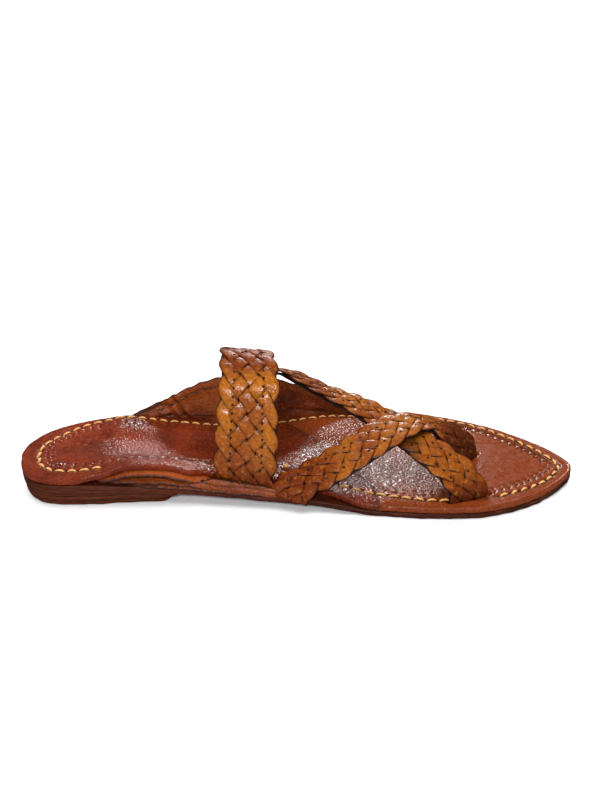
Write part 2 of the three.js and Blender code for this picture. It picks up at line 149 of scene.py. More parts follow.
@dataclass(frozen=True)
class Curve:
    """A smooth curve through one column of a table, by cubic Hermite pieces.

    The slope at a row is the mean of the slopes on both sides, and nought where they disagree
    in sign, so a flat stretch stays flat.
    """

    keys: tuple[float, ...]
    values: tuple[float, ...]

    @classmethod
    def through(cls, rows: Sequence[Sequence[float]], column: int) -> "Curve":
        """Return the curve of one column over the table's first column."""
        return cls(tuple(row[0] for row in rows), tuple(row[column] for row in rows))

    def __call__(self, at: Array) -> Array:
        """Return the curve's value at each key, held constant past both ends."""
        keys, values = np.array(self.keys), np.array(self.values)
        slope = np.diff(values) / np.diff(keys)
        before = np.concatenate([slope[:1], slope])
        after = np.concatenate([slope, slope[-1:]])
        limit = 3.0 * np.minimum(np.abs(before), np.abs(after))
        mean = np.minimum(np.abs(before + after) / 2, limit) * np.sign(before)
        slopes = np.where(before * after <= 0, 0.0, mean)
        slopes[0], slopes[-1] = slope[0], slope[-1]
        at = np.asarray(at, float)
        row = np.clip(np.searchsorted(keys, at, side="right") - 1, 0, len(keys) - 2)
        span = keys[row + 1] - keys[row]
        t = np.clip((at - keys[row]) / span, 0.0, 1.0)
        return hermite(t, values[row], span * slopes[row], values[row + 1], span * slopes[row + 1])


def knot_gap(start: Array, end: Array) -> Array:
    """Return the spacing of two knots: the square root of the distance between their points."""
    return np.maximum(np.linalg.norm(end - start, axis=1, keepdims=True), 1e-6) ** 0.5


def through_points(points: Array, share: Array) -> Array:
    """Return a centripetal Catmull-Rom curve through points at shares 0 to 1 of its rows.

    Between rows b and c the curve blends three chords; past the ends the row before or after
    is mirrored.
    """
    padded = np.vstack([2 * points[0] - points[1], points, 2 * points[-1] - points[-2]])
    place = np.clip(share, 0.0, 1.0) * (len(points) - 1)
    row = np.minimum(place.astype(int), len(points) - 2)
    a, b, c, d = (padded[row + step] for step in range(4))
    ab, bc, cd = knot_gap(a, b), knot_gap(b, c), knot_gap(c, d)
    leave = ((b - a) / ab - (c - a) / (ab + bc) + (c - b) / bc) * bc
    arrive = ((c - b) / bc - (d - b) / (bc + cd) + (d - c) / cd) * bc
    return hermite((place - row)[:, None], b, leave, c, arrive)


# ------------------------------------------------------------------ meshes


def quads_of(index: Array) -> Array:
    """Return the quads between neighbours in a grid of point numbers."""
    corners = (index[:-1, :-1], index[1:, :-1], index[1:, 1:], index[:-1, 1:])
    return np.stack(corners, axis=-1).reshape(-1, 4)


def grid_faces(rows: int, columns: int, wrap: bool = False) -> Array:
    """Return the quads of a grid of points, facing along rows x columns.

    Args:
        rows: rows of points, the slow index.
        columns: points in a row, the fast index.
        wrap: whether the last point of a row joins the first.
    """
    index = np.arange(rows * columns).reshape(rows, columns)
    if wrap:
        index = np.hstack([index, index[:, :1]])
    return quads_of(index)


def fan(centre: int, rim: Array, after: Array) -> Array:
    """Return the triangles from one point to each pair of neighbours on a rim."""
    return np.stack([np.full(len(rim), centre), rim, after], axis=1)


@dataclass
class Shape:
    """A mesh in the making: points in mm, faces, and values and UVs that its finish reads."""

    points: Array
    quads: Array
    triangles: Array = field(default_factory=lambda: np.zeros((0, 3), int))
    values: dict[str, Array] = field(default_factory=dict)
    uv: Array | None = None

    @staticmethod
    def joined(shapes: Sequence["Shape"]) -> "Shape":
        """Return one shape of several that hold the same kinds of values."""
        starts = np.cumsum([0] + [len(shape.points) for shape in shapes])[:-1]
        return Shape(
            np.vstack([shape.points for shape in shapes]),
            np.vstack([shape.quads + start for shape, start in zip(shapes, starts)]),
            np.vstack([shape.triangles + start for shape, start in zip(shapes, starts)]),
            {
                name: np.concatenate([shape.values[name] for shape in shapes])
                for name in shapes[0].values
            },
            None if shapes[0].uv is None else np.vstack([shape.uv for shape in shapes]),
        )

    def piece(self, name: str, finish: bpy.types.Material, slot: str) -> bpy.types.Object:
        """Return a shaded Blender object of this shape that rides on the sandal's body.

        Args:
            name: the piece's name.
            finish: its material.
            slot: the name of the record's material slot for the finish; not used.
        """
        mesh = bpy.data.meshes.new(name)
        faces = self.quads.tolist() + self.triangles.tolist()
        mesh.from_pydata((self.points * MM).tolist(), [], faces)
        turned = bmesh.new()
        turned.from_mesh(mesh)
        bmesh.ops.recalc_face_normals(turned, faces=turned.faces)
        turned.to_mesh(mesh)
        turned.free()
        mesh.polygons.foreach_set("use_smooth", np.ones(len(faces), bool))
        for key, value in self.values.items():
            layer = mesh.attributes.new(key, "FLOAT", "POINT")
            layer.data.foreach_set("value", np.asarray(value, np.float32))
        if self.uv is not None:
            corner = np.zeros(len(mesh.loops), np.int32)
            mesh.loops.foreach_get("vertex_index", corner)
            layer = mesh.uv_layers.new(name="strap")
            layer.data.foreach_set("uv", self.uv[corner].astype(np.float32).ravel())
        mesh.materials.append(finish)
        mesh.update()
        made = bpy.data.objects.new(name, mesh)
        bpy.context.scene.collection.objects.link(made)
        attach(made, BODY)
        count = len(self.quads) * 2 + len(self.triangles)
        LOG.info("%s: %d triangles", name, count)
        return made


def tube(rings: Array, values: dict[str, Array] | None = None, uv: Array | None = None) -> Shape:
    """Return a closed tube through rings of points, with a fan of triangles at each end.

    Args:
        rings: points by ring and by place in the ring.
        values: a value for each of those points, by name.
        uv: a UV pair for each of those points.
    """
    count, sides = rings.shape[:2]
    side = np.arange(sides)
    after = (side + 1) % sides
    start, end, last = count * sides, count * sides + 1, (count - 1) * sides

    def with_ends(value: Array) -> Array:
        """Return a value by point, followed by the mean of each end ring."""
        flat = value.reshape(count * sides, *value.shape[2:])
        return np.concatenate([flat, value[:1].mean(axis=1), value[-1:].mean(axis=1)])

    return Shape(
        with_ends(rings),
        grid_faces(count, sides, wrap=True),
        np.vstack([fan(start, side, after), fan(end, last + after, last + side)]),
        {name: with_ends(value) for name, value in (values or {}).items()},
        None if uv is None else with_ends(uv),
    )


def sheet_grid(start: float, end: float, rows: int, columns: int) -> tuple[Array, Array]:
    """Return a grid of x from start to end, by row, and one of shares 0 to 1, by column."""
    x, share = np.linspace(start, end, rows), np.linspace(0, 1, columns)
    return tuple(np.meshgrid(x, share, indexing="ij"))


def thick_sheet(
    middle: Array, thickness: Array | float, values: dict[str, Array | float]
) -> Shape:
    """Return a closed sheet of leather round a grid of points, with a rounded edge.

    Each point goes half the thickness both ways along the surface's normal, which is the cross
    product of the grid's two directions, and a strip that stands out a little closes the edge.

    Args:
        middle: the sheet's middle surface, by row and column.
        thickness: the sheet's thickness, or one for each point.
        values: a value, or one for each point, by name; "edge" is added, 1 on the cut edge.
    """
    rows, columns = middle.shape[:2]
    total = rows * columns
    down, along = np.gradient(middle, axis=0), np.gradient(middle, axis=1)
    reach = np.broadcast_to(thickness, (rows, columns))[..., None]
    half = reach / 2 * unit(np.cross(down, along))
    index = np.arange(total).reshape(rows, columns)
    border = np.concatenate([index[:-1, 0], index[-1, :-1], index[:0:-1, -1], index[0, :0:-1]])
    outward = np.zeros_like(middle)
    outward[0] -= down[0]
    outward[-1] += down[-1]
    outward[:, 0] -= along[:, 0]
    outward[:, -1] += along[:, -1]
    bulge = EDGE_BULGE * reach.reshape(-1, 1)[border]
    rim = middle.reshape(-1, 3)[border] + bulge * unit(outward.reshape(-1, 3)[border])
    strip = np.stack([border, 2 * total + np.arange(len(border)), border + total])
    sheet = grid_faces(rows, columns)
    strip_faces = quads_of(np.hstack([strip, strip[:, :1]]))[:, ::-1]
    edge = np.zeros(total)
    edge[border] = 0.75
    made = {"edge": np.concatenate([edge, edge, np.ones(len(border))])}
    for name, value in values.items():
        flat = np.broadcast_to(value, (rows, columns)).ravel()
        made[name] = np.concatenate([flat, flat, flat[border]])
    points = np.vstack([(middle + half).reshape(-1, 3), (middle - half).reshape(-1, 3), rim])
    return Shape(points, np.vstack([sheet, sheet[:, ::-1] + total, strip_faces]), values=made)


# ------------------------------------------------------------------ finishes


def linear(colour: Colour) -> tuple[float, float, float, float]:
    """Return a display colour, 0 to 255, as scene-linear RGBA by the sRGB curve."""
    shares = [channel / 255 for channel in colour]
    low = [share / 12.92 for share in shares]
    high = [((share + 0.055) / 1.055) ** 2.4 for share in shares]
    picked = [a if share <= 0.04045 else b for share, a, b in zip(shares, low, high)]
    return (*picked, 1.0)


class Graph:
    """A material's node tree, with a short method for each kind of node that it needs."""

    def __init__(self, name: str) -> None:
        """Start a material of this name that holds one Principled shader."""
        self.material = bpy.data.materials.new(name)
        self.material.use_nodes = True
        self.tree = self.material.node_tree
        self.shader = self.tree.nodes["Principled BSDF"]
        self.place = self.node("ShaderNodeTexCoord").outputs["Object"]

    def node(self, kind: str, **settings: object) -> bpy.types.Node:
        """Return a new node with its settings made."""
        made = self.tree.nodes.new(kind)
        for name, value in settings.items():
            setattr(made, name, value)
        return made

    def feed(self, socket: bpy.types.NodeSocket, value: object) -> None:
        """Link a socket, or set its value, to an input socket."""
        if isinstance(value, bpy.types.NodeSocket):
            self.tree.links.new(value, socket)
        else:
            socket.default_value = value

    def stretched(self, scale: Place) -> bpy.types.NodeSocket:
        """Return Object coordinates multiplied by a scale on each axis."""
        made = self.node("ShaderNodeMapping")
        self.feed(made.inputs["Vector"], self.place)
        made.inputs["Scale"].default_value = scale
        return made.outputs["Vector"]

    def noise(self, size: float, detail: float = 4.0, at: object = None) -> bpy.types.NodeSocket:
        """Return noise of 0 to 1 whose lumps are about size mm."""
        made = self.node("ShaderNodeTexNoise")
        self.feed(made.inputs["Vector"], at or self.place)
        made.inputs["Scale"].default_value = 1 / (size * MM)
        made.inputs["Detail"].default_value = detail
        return made.outputs["Fac"]

    def cells(self, size: float, feature: str = "F1", at: object = None) -> bpy.types.NodeSocket:
        """Return the distance pattern of cells about size mm across."""
        made = self.node("ShaderNodeTexVoronoi", feature=feature)
        self.feed(made.inputs["Vector"], at or self.place)
        made.inputs["Scale"].default_value = 1 / (size * MM)
        return made.outputs["Distance"]

    def value(self, name: str) -> bpy.types.NodeSocket:
        """Return a value stored on the mesh."""
        return self.node("ShaderNodeAttribute", attribute_name=name).outputs["Fac"]

    def sum(self, operation: str, first: object, second: object = 0.0) -> bpy.types.NodeSocket:
        """Return a Math node's result, with its operation named as Blender names it."""
        made = self.node("ShaderNodeMath", operation=operation)
        self.feed(made.inputs[0], first)
        self.feed(made.inputs[1], second)
        return made.outputs["Value"]

    def spread(
        self, value: object, low: float, high: float, to_low: float, to_high: float
    ) -> bpy.types.NodeSocket:
        """Return value moved from low..high to to_low..to_high, held at both ends."""
        made = self.node("ShaderNodeMapRange", interpolation_type="SMOOTHSTEP")
        for name, given in zip(
            ("Value", "From Min", "From Max", "To Min", "To Max"),
            (value, low, high, to_low, to_high),
        ):
            self.feed(made.inputs[name], given)
        return made.outputs["Result"]

    def blend(self, share: object, first: object, second: object) -> bpy.types.NodeSocket:
        """Return first where share is 0 and second where it is 1, as a colour."""
        made = self.node("ShaderNodeMix", data_type="RGBA")
        self.feed(made.inputs[0], share)
        self.feed(made.inputs[6], first)
        self.feed(made.inputs[7], second)
        return made.outputs[2]

    def bump(
        self, height: object, depth: float, before: bpy.types.NodeSocket | None = None
    ) -> bpy.types.NodeSocket:
        """Return a normal bent by a height of 0 to 1 that stands depth mm proud."""
        made = self.node("ShaderNodeBump")
        made.inputs["Distance"].default_value = depth * MM
        self.feed(made.inputs["Height"], height)
        if before is not None:
            self.feed(made.inputs["Normal"], before)
        return made.outputs["Normal"]


class Fibre(Enum):
    """Which way the fibres of a cut edge run."""

    NONE = (1.0, 1.0, 1.0)
    LENGTHWISE = (0.22, 0.22, 1.3)


@dataclass(frozen=True)
class Leather:
    """Dyed leather: mottled colour, fine grain, darker cut edges and a soft wax gloss."""

    name: str
    face: Colour
    deep: Colour
    light: Colour
    edge: Colour
    second: Colour | None = None
    grain: float = 0.9
    grain_depth: float = 0.16
    crease_depth: float = 0.25
    roughness: float = 0.42
    coat: float = 0.25
    coat_roughness: float = 0.3
    dulled: float = 0.0
    sheen: float = 0.3
    fibre: Fibre = Fibre.NONE

    def colour(
        self, graph: Graph, at: object, fine: bpy.types.NodeSocket, pores: bpy.types.NodeSocket
    ) -> bpy.types.NodeSocket:
        """Return the colour: face mottled with deep and light by two sizes of noise.

        It turns to second where the mesh's "tone" is 1, to edge where "edge" is 1 and nearly
        black where "dark" is 1. "dark" is mostly painted shade, and also the dark seam line where
        the footbed's heel cover ends; "edge" is partly painted shade, in pressed marks and between
        laces.

        Args:
            graph: the material's nodes.
            at: the coordinates, drawn out along the fibres.
            fine: the fine mottling.
            pores: the pattern of the grain.
        """
        broad = graph.spread(graph.noise(BROAD_MOTTLE, 3.0, at), 0.35, 0.68, 0.0, 1.0)
        mixed = graph.blend(broad, linear(self.face), linear(self.deep))
        if self.second is not None:
            mixed = graph.blend(graph.value("tone"), mixed, linear(self.second))
        mixed = graph.blend(graph.spread(fine, 0.5, 0.78, 0.0, 0.55), mixed, linear(self.light))
        mixed = graph.blend(graph.spread(pores, 0.3, 0.75, 0.0, 0.3), mixed, linear(self.edge))
        mixed = graph.blend(graph.value("edge"), mixed, linear(self.edge))
        return graph.blend(graph.value("dark"), mixed, linear(PAINTED_SHADE_AND_SEAM))

    def gloss(self, graph: Graph, fine: bpy.types.NodeSocket) -> None:
        """Set the roughness, the specular share and the wax coat, duller where "tone" is 1."""
        inputs = graph.shader.inputs
        rough = graph.spread(fine, 0.3, 0.75, self.roughness - 0.07, self.roughness + 0.12)
        dull = graph.sum("MULTIPLY", graph.value("tone"), self.dulled)
        graph.feed(inputs["Roughness"], graph.sum("ADD", rough, dull))
        inputs["Coat Roughness"].default_value = self.coat_roughness
        if self.dulled:
            polished = graph.sum("SUBTRACT", 1.0, graph.value("tone"))
            sheen = graph.spread(polished, 0.0, 1.0, self.sheen * 0.4, self.sheen)
            graph.feed(inputs["Coat Weight"], graph.sum("MULTIPLY", polished, self.coat))
            graph.feed(inputs["Specular IOR Level"], sheen)
        else:
            inputs["Coat Weight"].default_value = self.coat
            inputs["Specular IOR Level"].default_value = self.sheen

    def material(self) -> bpy.types.Material:
        """Return the material; its height is a grain of small cells plus soft creases.

        The grain is worn away where the mesh's "smooth" is 1.
        """
        graph = Graph(self.name)
        at = graph.stretched(self.fibre.value)
        fine = graph.noise(FINE_MOTTLE, 6.0, at)
        pores = graph.cells(self.grain, at=at)
        graph.feed(graph.shader.inputs["Base Color"], self.colour(graph, at, fine, pores))
        self.gloss(graph, fine)
        unworn = graph.sum("SUBTRACT", 1.0, graph.value("smooth"))
        pebble = graph.sum("MULTIPLY", graph.spread(pores, 0.1, 0.8, 1.0, 0.0), unworn)
        creases = graph.cells(self.grain * CREASE_CELL, "SMOOTH_F1", at)
        grain = graph.bump(pebble, self.grain_depth)
        normal = graph.bump(creases, self.crease_depth, grain)
        graph.feed(graph.shader.inputs["Normal"], normal)
        graph.feed(graph.shader.inputs["Coat Normal"], normal)
        return graph.material


@dataclass(frozen=True)
class Thread:
    """Waxed cotton thread with a twist that shows as fine slanting lines."""

    name: str
    face: Colour
    shade: Colour

    def material(self) -> bpy.types.Material:
        """Return the material: colour by noise, a fine rough bump and no gloss coat."""
        graph = Graph(self.name)
        fine = graph.noise(0.7, 3.0)
        soil = graph.noise(14.0, 2.0)
        colour = graph.blend(
            graph.spread(fine, 0.3, 0.75, 0.0, 0.6), linear(self.face), linear(self.shade)
        )
        colour = graph.blend(graph.spread(soil, 0.5, 0.75, 0.0, 0.45), colour, linear(self.shade))
        graph.feed(graph.shader.inputs["Base Color"], colour)
        graph.shader.inputs["Roughness"].default_value = 0.62
        graph.feed(graph.shader.inputs["Normal"], graph.bump(fine, 0.12))
        return graph.material


FOOTBED_LEATHER = Leather(
    "footbed_leather",
    face=(120, 40, 8),
    deep=(90, 26, 5),
    light=(138, 56, 12),
    edge=(50, 18, 5),
    second=(130, 54, 9),
    grain=1.25,
    grain_depth=0.22,
    crease_depth=0.05,
    roughness=0.3,
    sheen=0.42,
    coat=0.3,
    coat_roughness=0.12,
)
SOLE_LEATHER = Leather(
    "sole_leather",
    face=(88, 35, 10),
    deep=(58, 21, 6),
    light=(110, 49, 15),
    edge=(34, 12, 4),
    grain=1.3,
    grain_depth=0.15,
    crease_depth=0.25,
    roughness=0.5,
    sheen=0.18,
    coat=0.05,
    fibre=Fibre.LENGTHWISE,
)
HEEL_LEATHER = replace(
    SOLE_LEATHER,
    name="heel_leather",
    face=(88, 36, 10),
    deep=(68, 26, 6),
    light=(102, 46, 14),
    edge=(30, 11, 4),
    grain_depth=0.14,
    crease_depth=0.22,
)
EAR_LEATHER = Leather(
    "ear_leather",
    face=(160, 72, 26),
    deep=(108, 42, 13),
    light=(182, 98, 42),
    edge=(52, 19, 7),
    second=(164, 80, 26),
    grain=1.1,
    grain_depth=0.2,
    crease_depth=0.45,
    roughness=0.42,
    coat=0.3,
)
LACE_LEATHER = Leather(
    "braid_leather",
    face=(164, 92, 12),
    deep=(134, 64, 8),
    light=(186, 118, 28),
    edge=(38, 13, 4),
    second=(102, 37, 4),
    grain=1.2,
    grain_depth=0.07,
    crease_depth=0.12,
    roughness=0.27,
    dulled=0.2,
    coat=0.3,
    coat_roughness=0.14,
)
LINING_LEATHER = Leather(
    "lining_leather",
    face=(74, 34, 18),
    deep=(46, 19, 9),
    light=(96, 50, 27),
    edge=(34, 14, 7),
    roughness=0.55,
    coat=0.05,
)
CREAM_THREAD = Thread("cream_thread", face=(218, 166, 96), shade=(156, 96, 44))
# nearly black beads at the plait's holes: partly thread, partly painted shade of the holes
THREAD_AND_HOLE_SHADE = Thread("thread_and_hole_shade", face=(36, 15, 8), shade=(20, 9, 5))


# ------------------------------------------------------------------ the sole's surfaces


class Side(Enum):
    """The foot's inner or outer side, as the sign of y."""

    MEDIAL = -1
    LATERAL = 1

    @property
    def column(self) -> int:
        """The column of this side in a table that has one for each."""
        return 1 if self is Side.MEDIAL else 2

    @property
    def other(self) -> "Side":
        """The opposite side."""
        return Side(-self.value)


@dataclass(frozen=True)
class Plan:
    """The sole's outline, placed along its length, and the heights of its layers."""

    length: float = 285.0
    outsole: float = 2.8
    footbed: float = 3.4
    gap: float = 0.3
    tab: float = 2.2

    # share of the way along, medial edge y, lateral edge y
    outline: tuple = (
        (0.0, -9.5, -9.5), (0.05, -20.2, -1.0), (0.1, -31.2, 8.4), (0.15, -38.0, 16.4),
        (0.2, -40.6, 22.4), (0.25, -40.4, 26.4), (0.3, -38.8, 28.6), (0.35, -37.8, 29.0),
        (0.4, -38.3, 29.0), (0.45, -40.5, 30.9), (0.5, -43.8, 35.6), (0.55, -46.7, 42.4),
        (0.6, -49.1, 48.6), (0.65, -50.8, 50.4), (0.7, -50.4, 44.6), (0.75, -46.4, 37.0),
        (0.8, -39.8, 27.6), (0.85, -31.8, 16.4), (0.9, -24.2, 5.0), (0.95, -18.0, -5.4),
        (1.0, -12.5, -12.5),
    )
    # x, underside of the outsole
    underside_rows: tuple = (
        (-143, 9.3), (-106, 9.3), (-82, 7.3), (-50, 5.1), (-20, 3.8), (10, 3.3), (40, 0.0),
        (118, 0.0), (143, 1.2),
    )
    # x, seam between the heel's two lifts
    seam_rows: tuple = ((-143, 5.4), (-88, 5.4), (-54, 3.3))
    # x, medial inset, lateral inset, medial tab, lateral tab, hump over the folded ear
    edge_rows: tuple = (
        (-108, 0, 0, 0, 0, 0), (-96, 0.4, 2.6, 0.7, 1, 1.5), (-80, 1.2, 3.2, 1, 1, 6.2),
        (-66, 1.6, 3.2, 1, 1, 6.6), (-53, 2.6, 3.6, 1, 1, 3.8), (-45, 6.4, 6.8, 1, 1, 1.6),
        (-25, 6.6, 6.8, 1, 1, 0.3), (-9, 7.7, 6.6, 0.9, 1, 0), (4, 7.0, 3.6, 0.25, 1, 0),
        (16, 5.0, 3.2, 0, 1, 0), (30, 0.6, 2.8, 0, 0.8, 0), (42, 0, 0, 0, 0, 0),
    )

    def x_at(self, along: Array) -> Array:
        """Return x at a share of the way from heel to toe: -length / 2 times cos(pi along)."""
        return -self.length / 2 * np.cos(math.pi * np.asarray(along))

    def along_at(self, x: Array) -> Array:
        """Return the share of the way along at x, the inverse of x_at."""
        return np.arccos(np.clip(-2 * np.asarray(x) / self.length, -1, 1)) / math.pi

    def edge(self, side: Side, x: Array) -> Array:
        """Return y of the outline on one side at x."""
        return Curve.through(self.outline, side.column)(self.along_at(x))

    def inset(self, side: Side, x: Array) -> Array:
        """Return how far the footbed's edge is drawn in from the outline at x."""
        return Curve.through(self.edge_rows, side.column)(x)

    def underside(self, x: Array) -> Array:
        """Return the height of the outsole's underside at x."""
        return Curve.through(self.underside_rows, 1)(x)

    def lift_seam(self, x: Array) -> Array:
        """Return the height of the seam between the heel lifts at x."""
        return Curve.through(self.seam_rows, 1)(x)

    def outsole_top(self, x: Array) -> Array:
        """Return the height of the outsole's upper face at x."""
        return self.underside(x) + self.outsole

    def across_at(self, x: Array, y: Array) -> Array:
        """Return where y lies between the edges at x: -1 medial to 1 lateral."""
        medial, lateral = self.edge(Side.MEDIAL, x), self.edge(Side.LATERAL, x)
        half = np.maximum((lateral - medial) / 2, 1.0)
        return (y - (medial + lateral) / 2) / half

    def footbed_bottom(self, x: Array, y: Array) -> Array:
        """Return the footbed's underside: on the outsole, and lifted over the ears at its edges."""
        across = self.across_at(x, y)
        medial_tab, lateral_tab, hump = (Curve.through(self.edge_rows, n)(x) for n in (3, 4, 5))
        lateral = lateral_tab * smoothstep(across, 0.15, 0.48)
        medial = medial_tab * smoothstep(-across, 0.15, 0.48)
        folded = hump * smoothstep(-across, 0.25, 1.0)
        lifted = (self.tab + self.gap) * (lateral + medial)
        return self.outsole_top(x) + self.gap + lifted + folded

    def footbed_top(self, x: Array, y: Array) -> Array:
        """Return the height of the footbed's upper face before any marks."""
        return self.footbed_bottom(x, y) + self.footbed


@dataclass(frozen=True)
class Layer:
    """One layer of the sole: a rim of rounded profile round an upper and a lower cover.

    The rim is a loop of points offset inwards ring by ring. The covers run straight across
    between the loop's medial and lateral points, closer together near the edges.
    """

    start: float
    end: float
    medial: Callable[[Array], Array]
    lateral: Callable[[Array], Array]
    top: Callable[[Array, Array], Array]
    bottom: Callable[[Array, Array], Array]
    stations: int = 260
    columns: int = 16
    crowding: float = 1.0
    profile_steps: int = 8
    rounding: float = 0.8
    flare: float = 0.0
    wobble: float = 0.12
    ledge: float = 0.0
    split_at: float = 0.0
    seed: int = 1

    def loop(self) -> Array:
        """Return the outline's points: heel tip, lateral side, toe tip, medial side."""
        even = np.arange(self.stations + 1) / self.stations
        share = mix(even, (1 - np.cos(math.pi * even)) / 2, self.crowding)
        x = self.start + (self.end - self.start) * share
        lateral = np.stack([x, self.lateral(x)], axis=1)
        medial = np.stack([x, self.medial(x)], axis=1)
        middle = (lateral + medial) / 2
        return np.vstack([middle[:1], lateral[1:-1], middle[-1:], medial[-2:0:-1]])

    def ring(self, loop: Array, distance: Array) -> Array:
        """Return the loop moved inwards by a distance, along its own normals."""
        ahead = unit(np.roll(loop, -1, axis=0) - np.roll(loop, 1, axis=0))
        inward = np.stack([ahead[:, 1], -ahead[:, 0]], axis=1)
        return loop + inward * np.asarray(distance)[..., None]

    def rim(self) -> Array:
        """Return the rim's rings, upper face first.

        Ring k stands at an angle a from 0 to pi: it is inset by rounding (1 - sqrt(sin a)), and
        its height goes from top to bottom by (1 - cos a) / 2. Soft noise makes it uneven.
        """
        loop = self.loop()
        rings = []
        for angle in np.linspace(0.0, math.pi, self.profile_steps + 1):
            fall = (1 - math.cos(angle)) / 2
            place = np.column_stack([loop, np.full(len(loop), 6.0 * fall)])
            uneven = self.wobble * ripple(place, 7.0, self.seed)
            distance = self.rounding * (1 - math.sqrt(max(math.sin(angle), 0.0)))
            ledge = self.ledge * groove(fall - 0.52, 0.1)
            xy = self.ring(loop, distance + self.flare * fall + ledge + uneven)
            z = mix(self.top(xy[:, 0], xy[:, 1]), self.bottom(xy[:, 0], xy[:, 1]), fall)
            rings.append(np.column_stack([xy, z]))
        return np.array(rings)

    def cover(
        self, ring: Array, first: int, free: int, upper: bool
    ) -> tuple[Array, Array, Array]:
        """Return the points, quads and triangles of one cover.

        Args:
            ring: the rim's ring that the cover closes.
            first: the number of that ring's first point.
            free: the number that the cover's own first point gets.
            upper: whether it is the upper cover, which is finer and faces up.
        """
        columns = self.columns if upper else max(self.columns // 6, 8)
        height = self.top if upper else self.bottom
        row = np.arange(1, self.stations)
        place = np.linspace(-1, 1, columns + 1)[1:-1]
        share = 0.5 + 0.5 * (0.45 * place + 0.55 * np.sin(math.pi / 2 * place))
        xy = mix(ring[len(ring) - row][:, None, :2], ring[row][:, None, :2], share[:, None])
        points = np.concatenate([xy, height(xy[..., 0], xy[..., 1])[..., None]], axis=-1)
        index = free + np.arange(row.size * place.size).reshape(row.size, place.size)
        medial, lateral = first + len(ring) - row, first + row
        index = np.hstack([medial[:, None], index, lateral[:, None]])
        heel = fan(first, index[0, :-1], index[0, 1:])
        toe = fan(first + self.stations, index[-1, 1:], index[-1, :-1])
        turn = 1 if upper else -1
        fans = np.vstack([heel, toe])
        return points.reshape(-1, 3), quads_of(index)[:, ::turn], fans[:, ::turn]

    def cut_edge(self, rim: Array) -> Array:
        """Return how much each point of the rim looks cut: its two corners and any split."""
        levels, count = rim.shape[:2]
        fall = np.repeat(np.linspace(0, 1, levels), count)
        cut = 0.7 * smoothstep(fall, 0.72, 1.0) + 0.35 * groove(fall, 0.1)
        if not self.split_at:
            return cut
        wander = 0.05 * ripple(rim.reshape(-1, 3), 30.0, 9)
        return cut + 0.8 * groove(fall - self.split_at - wander, 0.06)

    def shape(self) -> Shape:
        """Return the layer as one closed shape, with "edge" set on its rim."""
        rim = self.rim()
        levels, count = rim.shape[:2]
        free = levels * count
        points, quads, triangles = [rim.reshape(-1, 3)], [grid_faces(levels, count, wrap=True)], []
        for level, upper in ((0, True), (levels - 1, False)):
            made, squares, fans = self.cover(rim[level], level * count, free, upper)
            points.append(made)
            quads.append(squares)
            triangles.append(fans)
            free += len(made)
        edge = np.zeros(free)
        edge[: levels * count] = self.cut_edge(rim)
        values = {"edge": edge, "dark": np.zeros(free), "tone": np.zeros(free)}
        return Shape(np.vstack(points), np.vstack(quads), np.vstack(triangles), values)


@dataclass(frozen=True)
class Border:
    """Distances in from the footbed's edge, for whatever runs round it."""

    plan: Plan
    steps: int = 900
    block: int = 4000

    def loop(self) -> Array:
        """Return the footbed's outline as a closed row of points."""
        along = np.arange(self.steps + 1) / self.steps
        x = self.plan.x_at(along)
        lateral = self.plan.edge(Side.LATERAL, x)
        medial = self.plan.edge(Side.MEDIAL, x)
        up, down = np.stack([x, lateral], axis=1), np.stack([x, medial], axis=1)
        return np.vstack([up[:-1], down[:0:-1]])

    def nearest(self, x: Array, y: Array) -> tuple[Array, Array]:
        """Return the arc length of the nearest point of the outline, and the distance to it."""
        loop = self.loop()
        length = arc_length(loop)
        flat = np.column_stack([np.ravel(x), np.ravel(y)])
        where, distance = np.zeros(len(flat)), np.zeros(len(flat))
        for first in range(0, len(flat), self.block):
            part = flat[first : first + self.block]
            gaps = ((part[:, None, :] - loop[None, :, :]) ** 2).sum(axis=-1)
            pick = gaps.argmin(axis=1)
            where[first : first + self.block] = length[pick]
            distance[first : first + self.block] = np.sqrt(gaps[np.arange(len(part)), pick])
        return where.reshape(np.shape(x)), distance.reshape(np.shape(x))


# ------------------------------------------------------------------ sole sub-assembly


def level_across(
    height: Callable[[Array], Array], raised: float = 0.0
) -> Callable[[Array, Array], Array]:
    """Return a height at x, raised a little, as one at x and y."""
    return lambda x, y: height(x) + raised


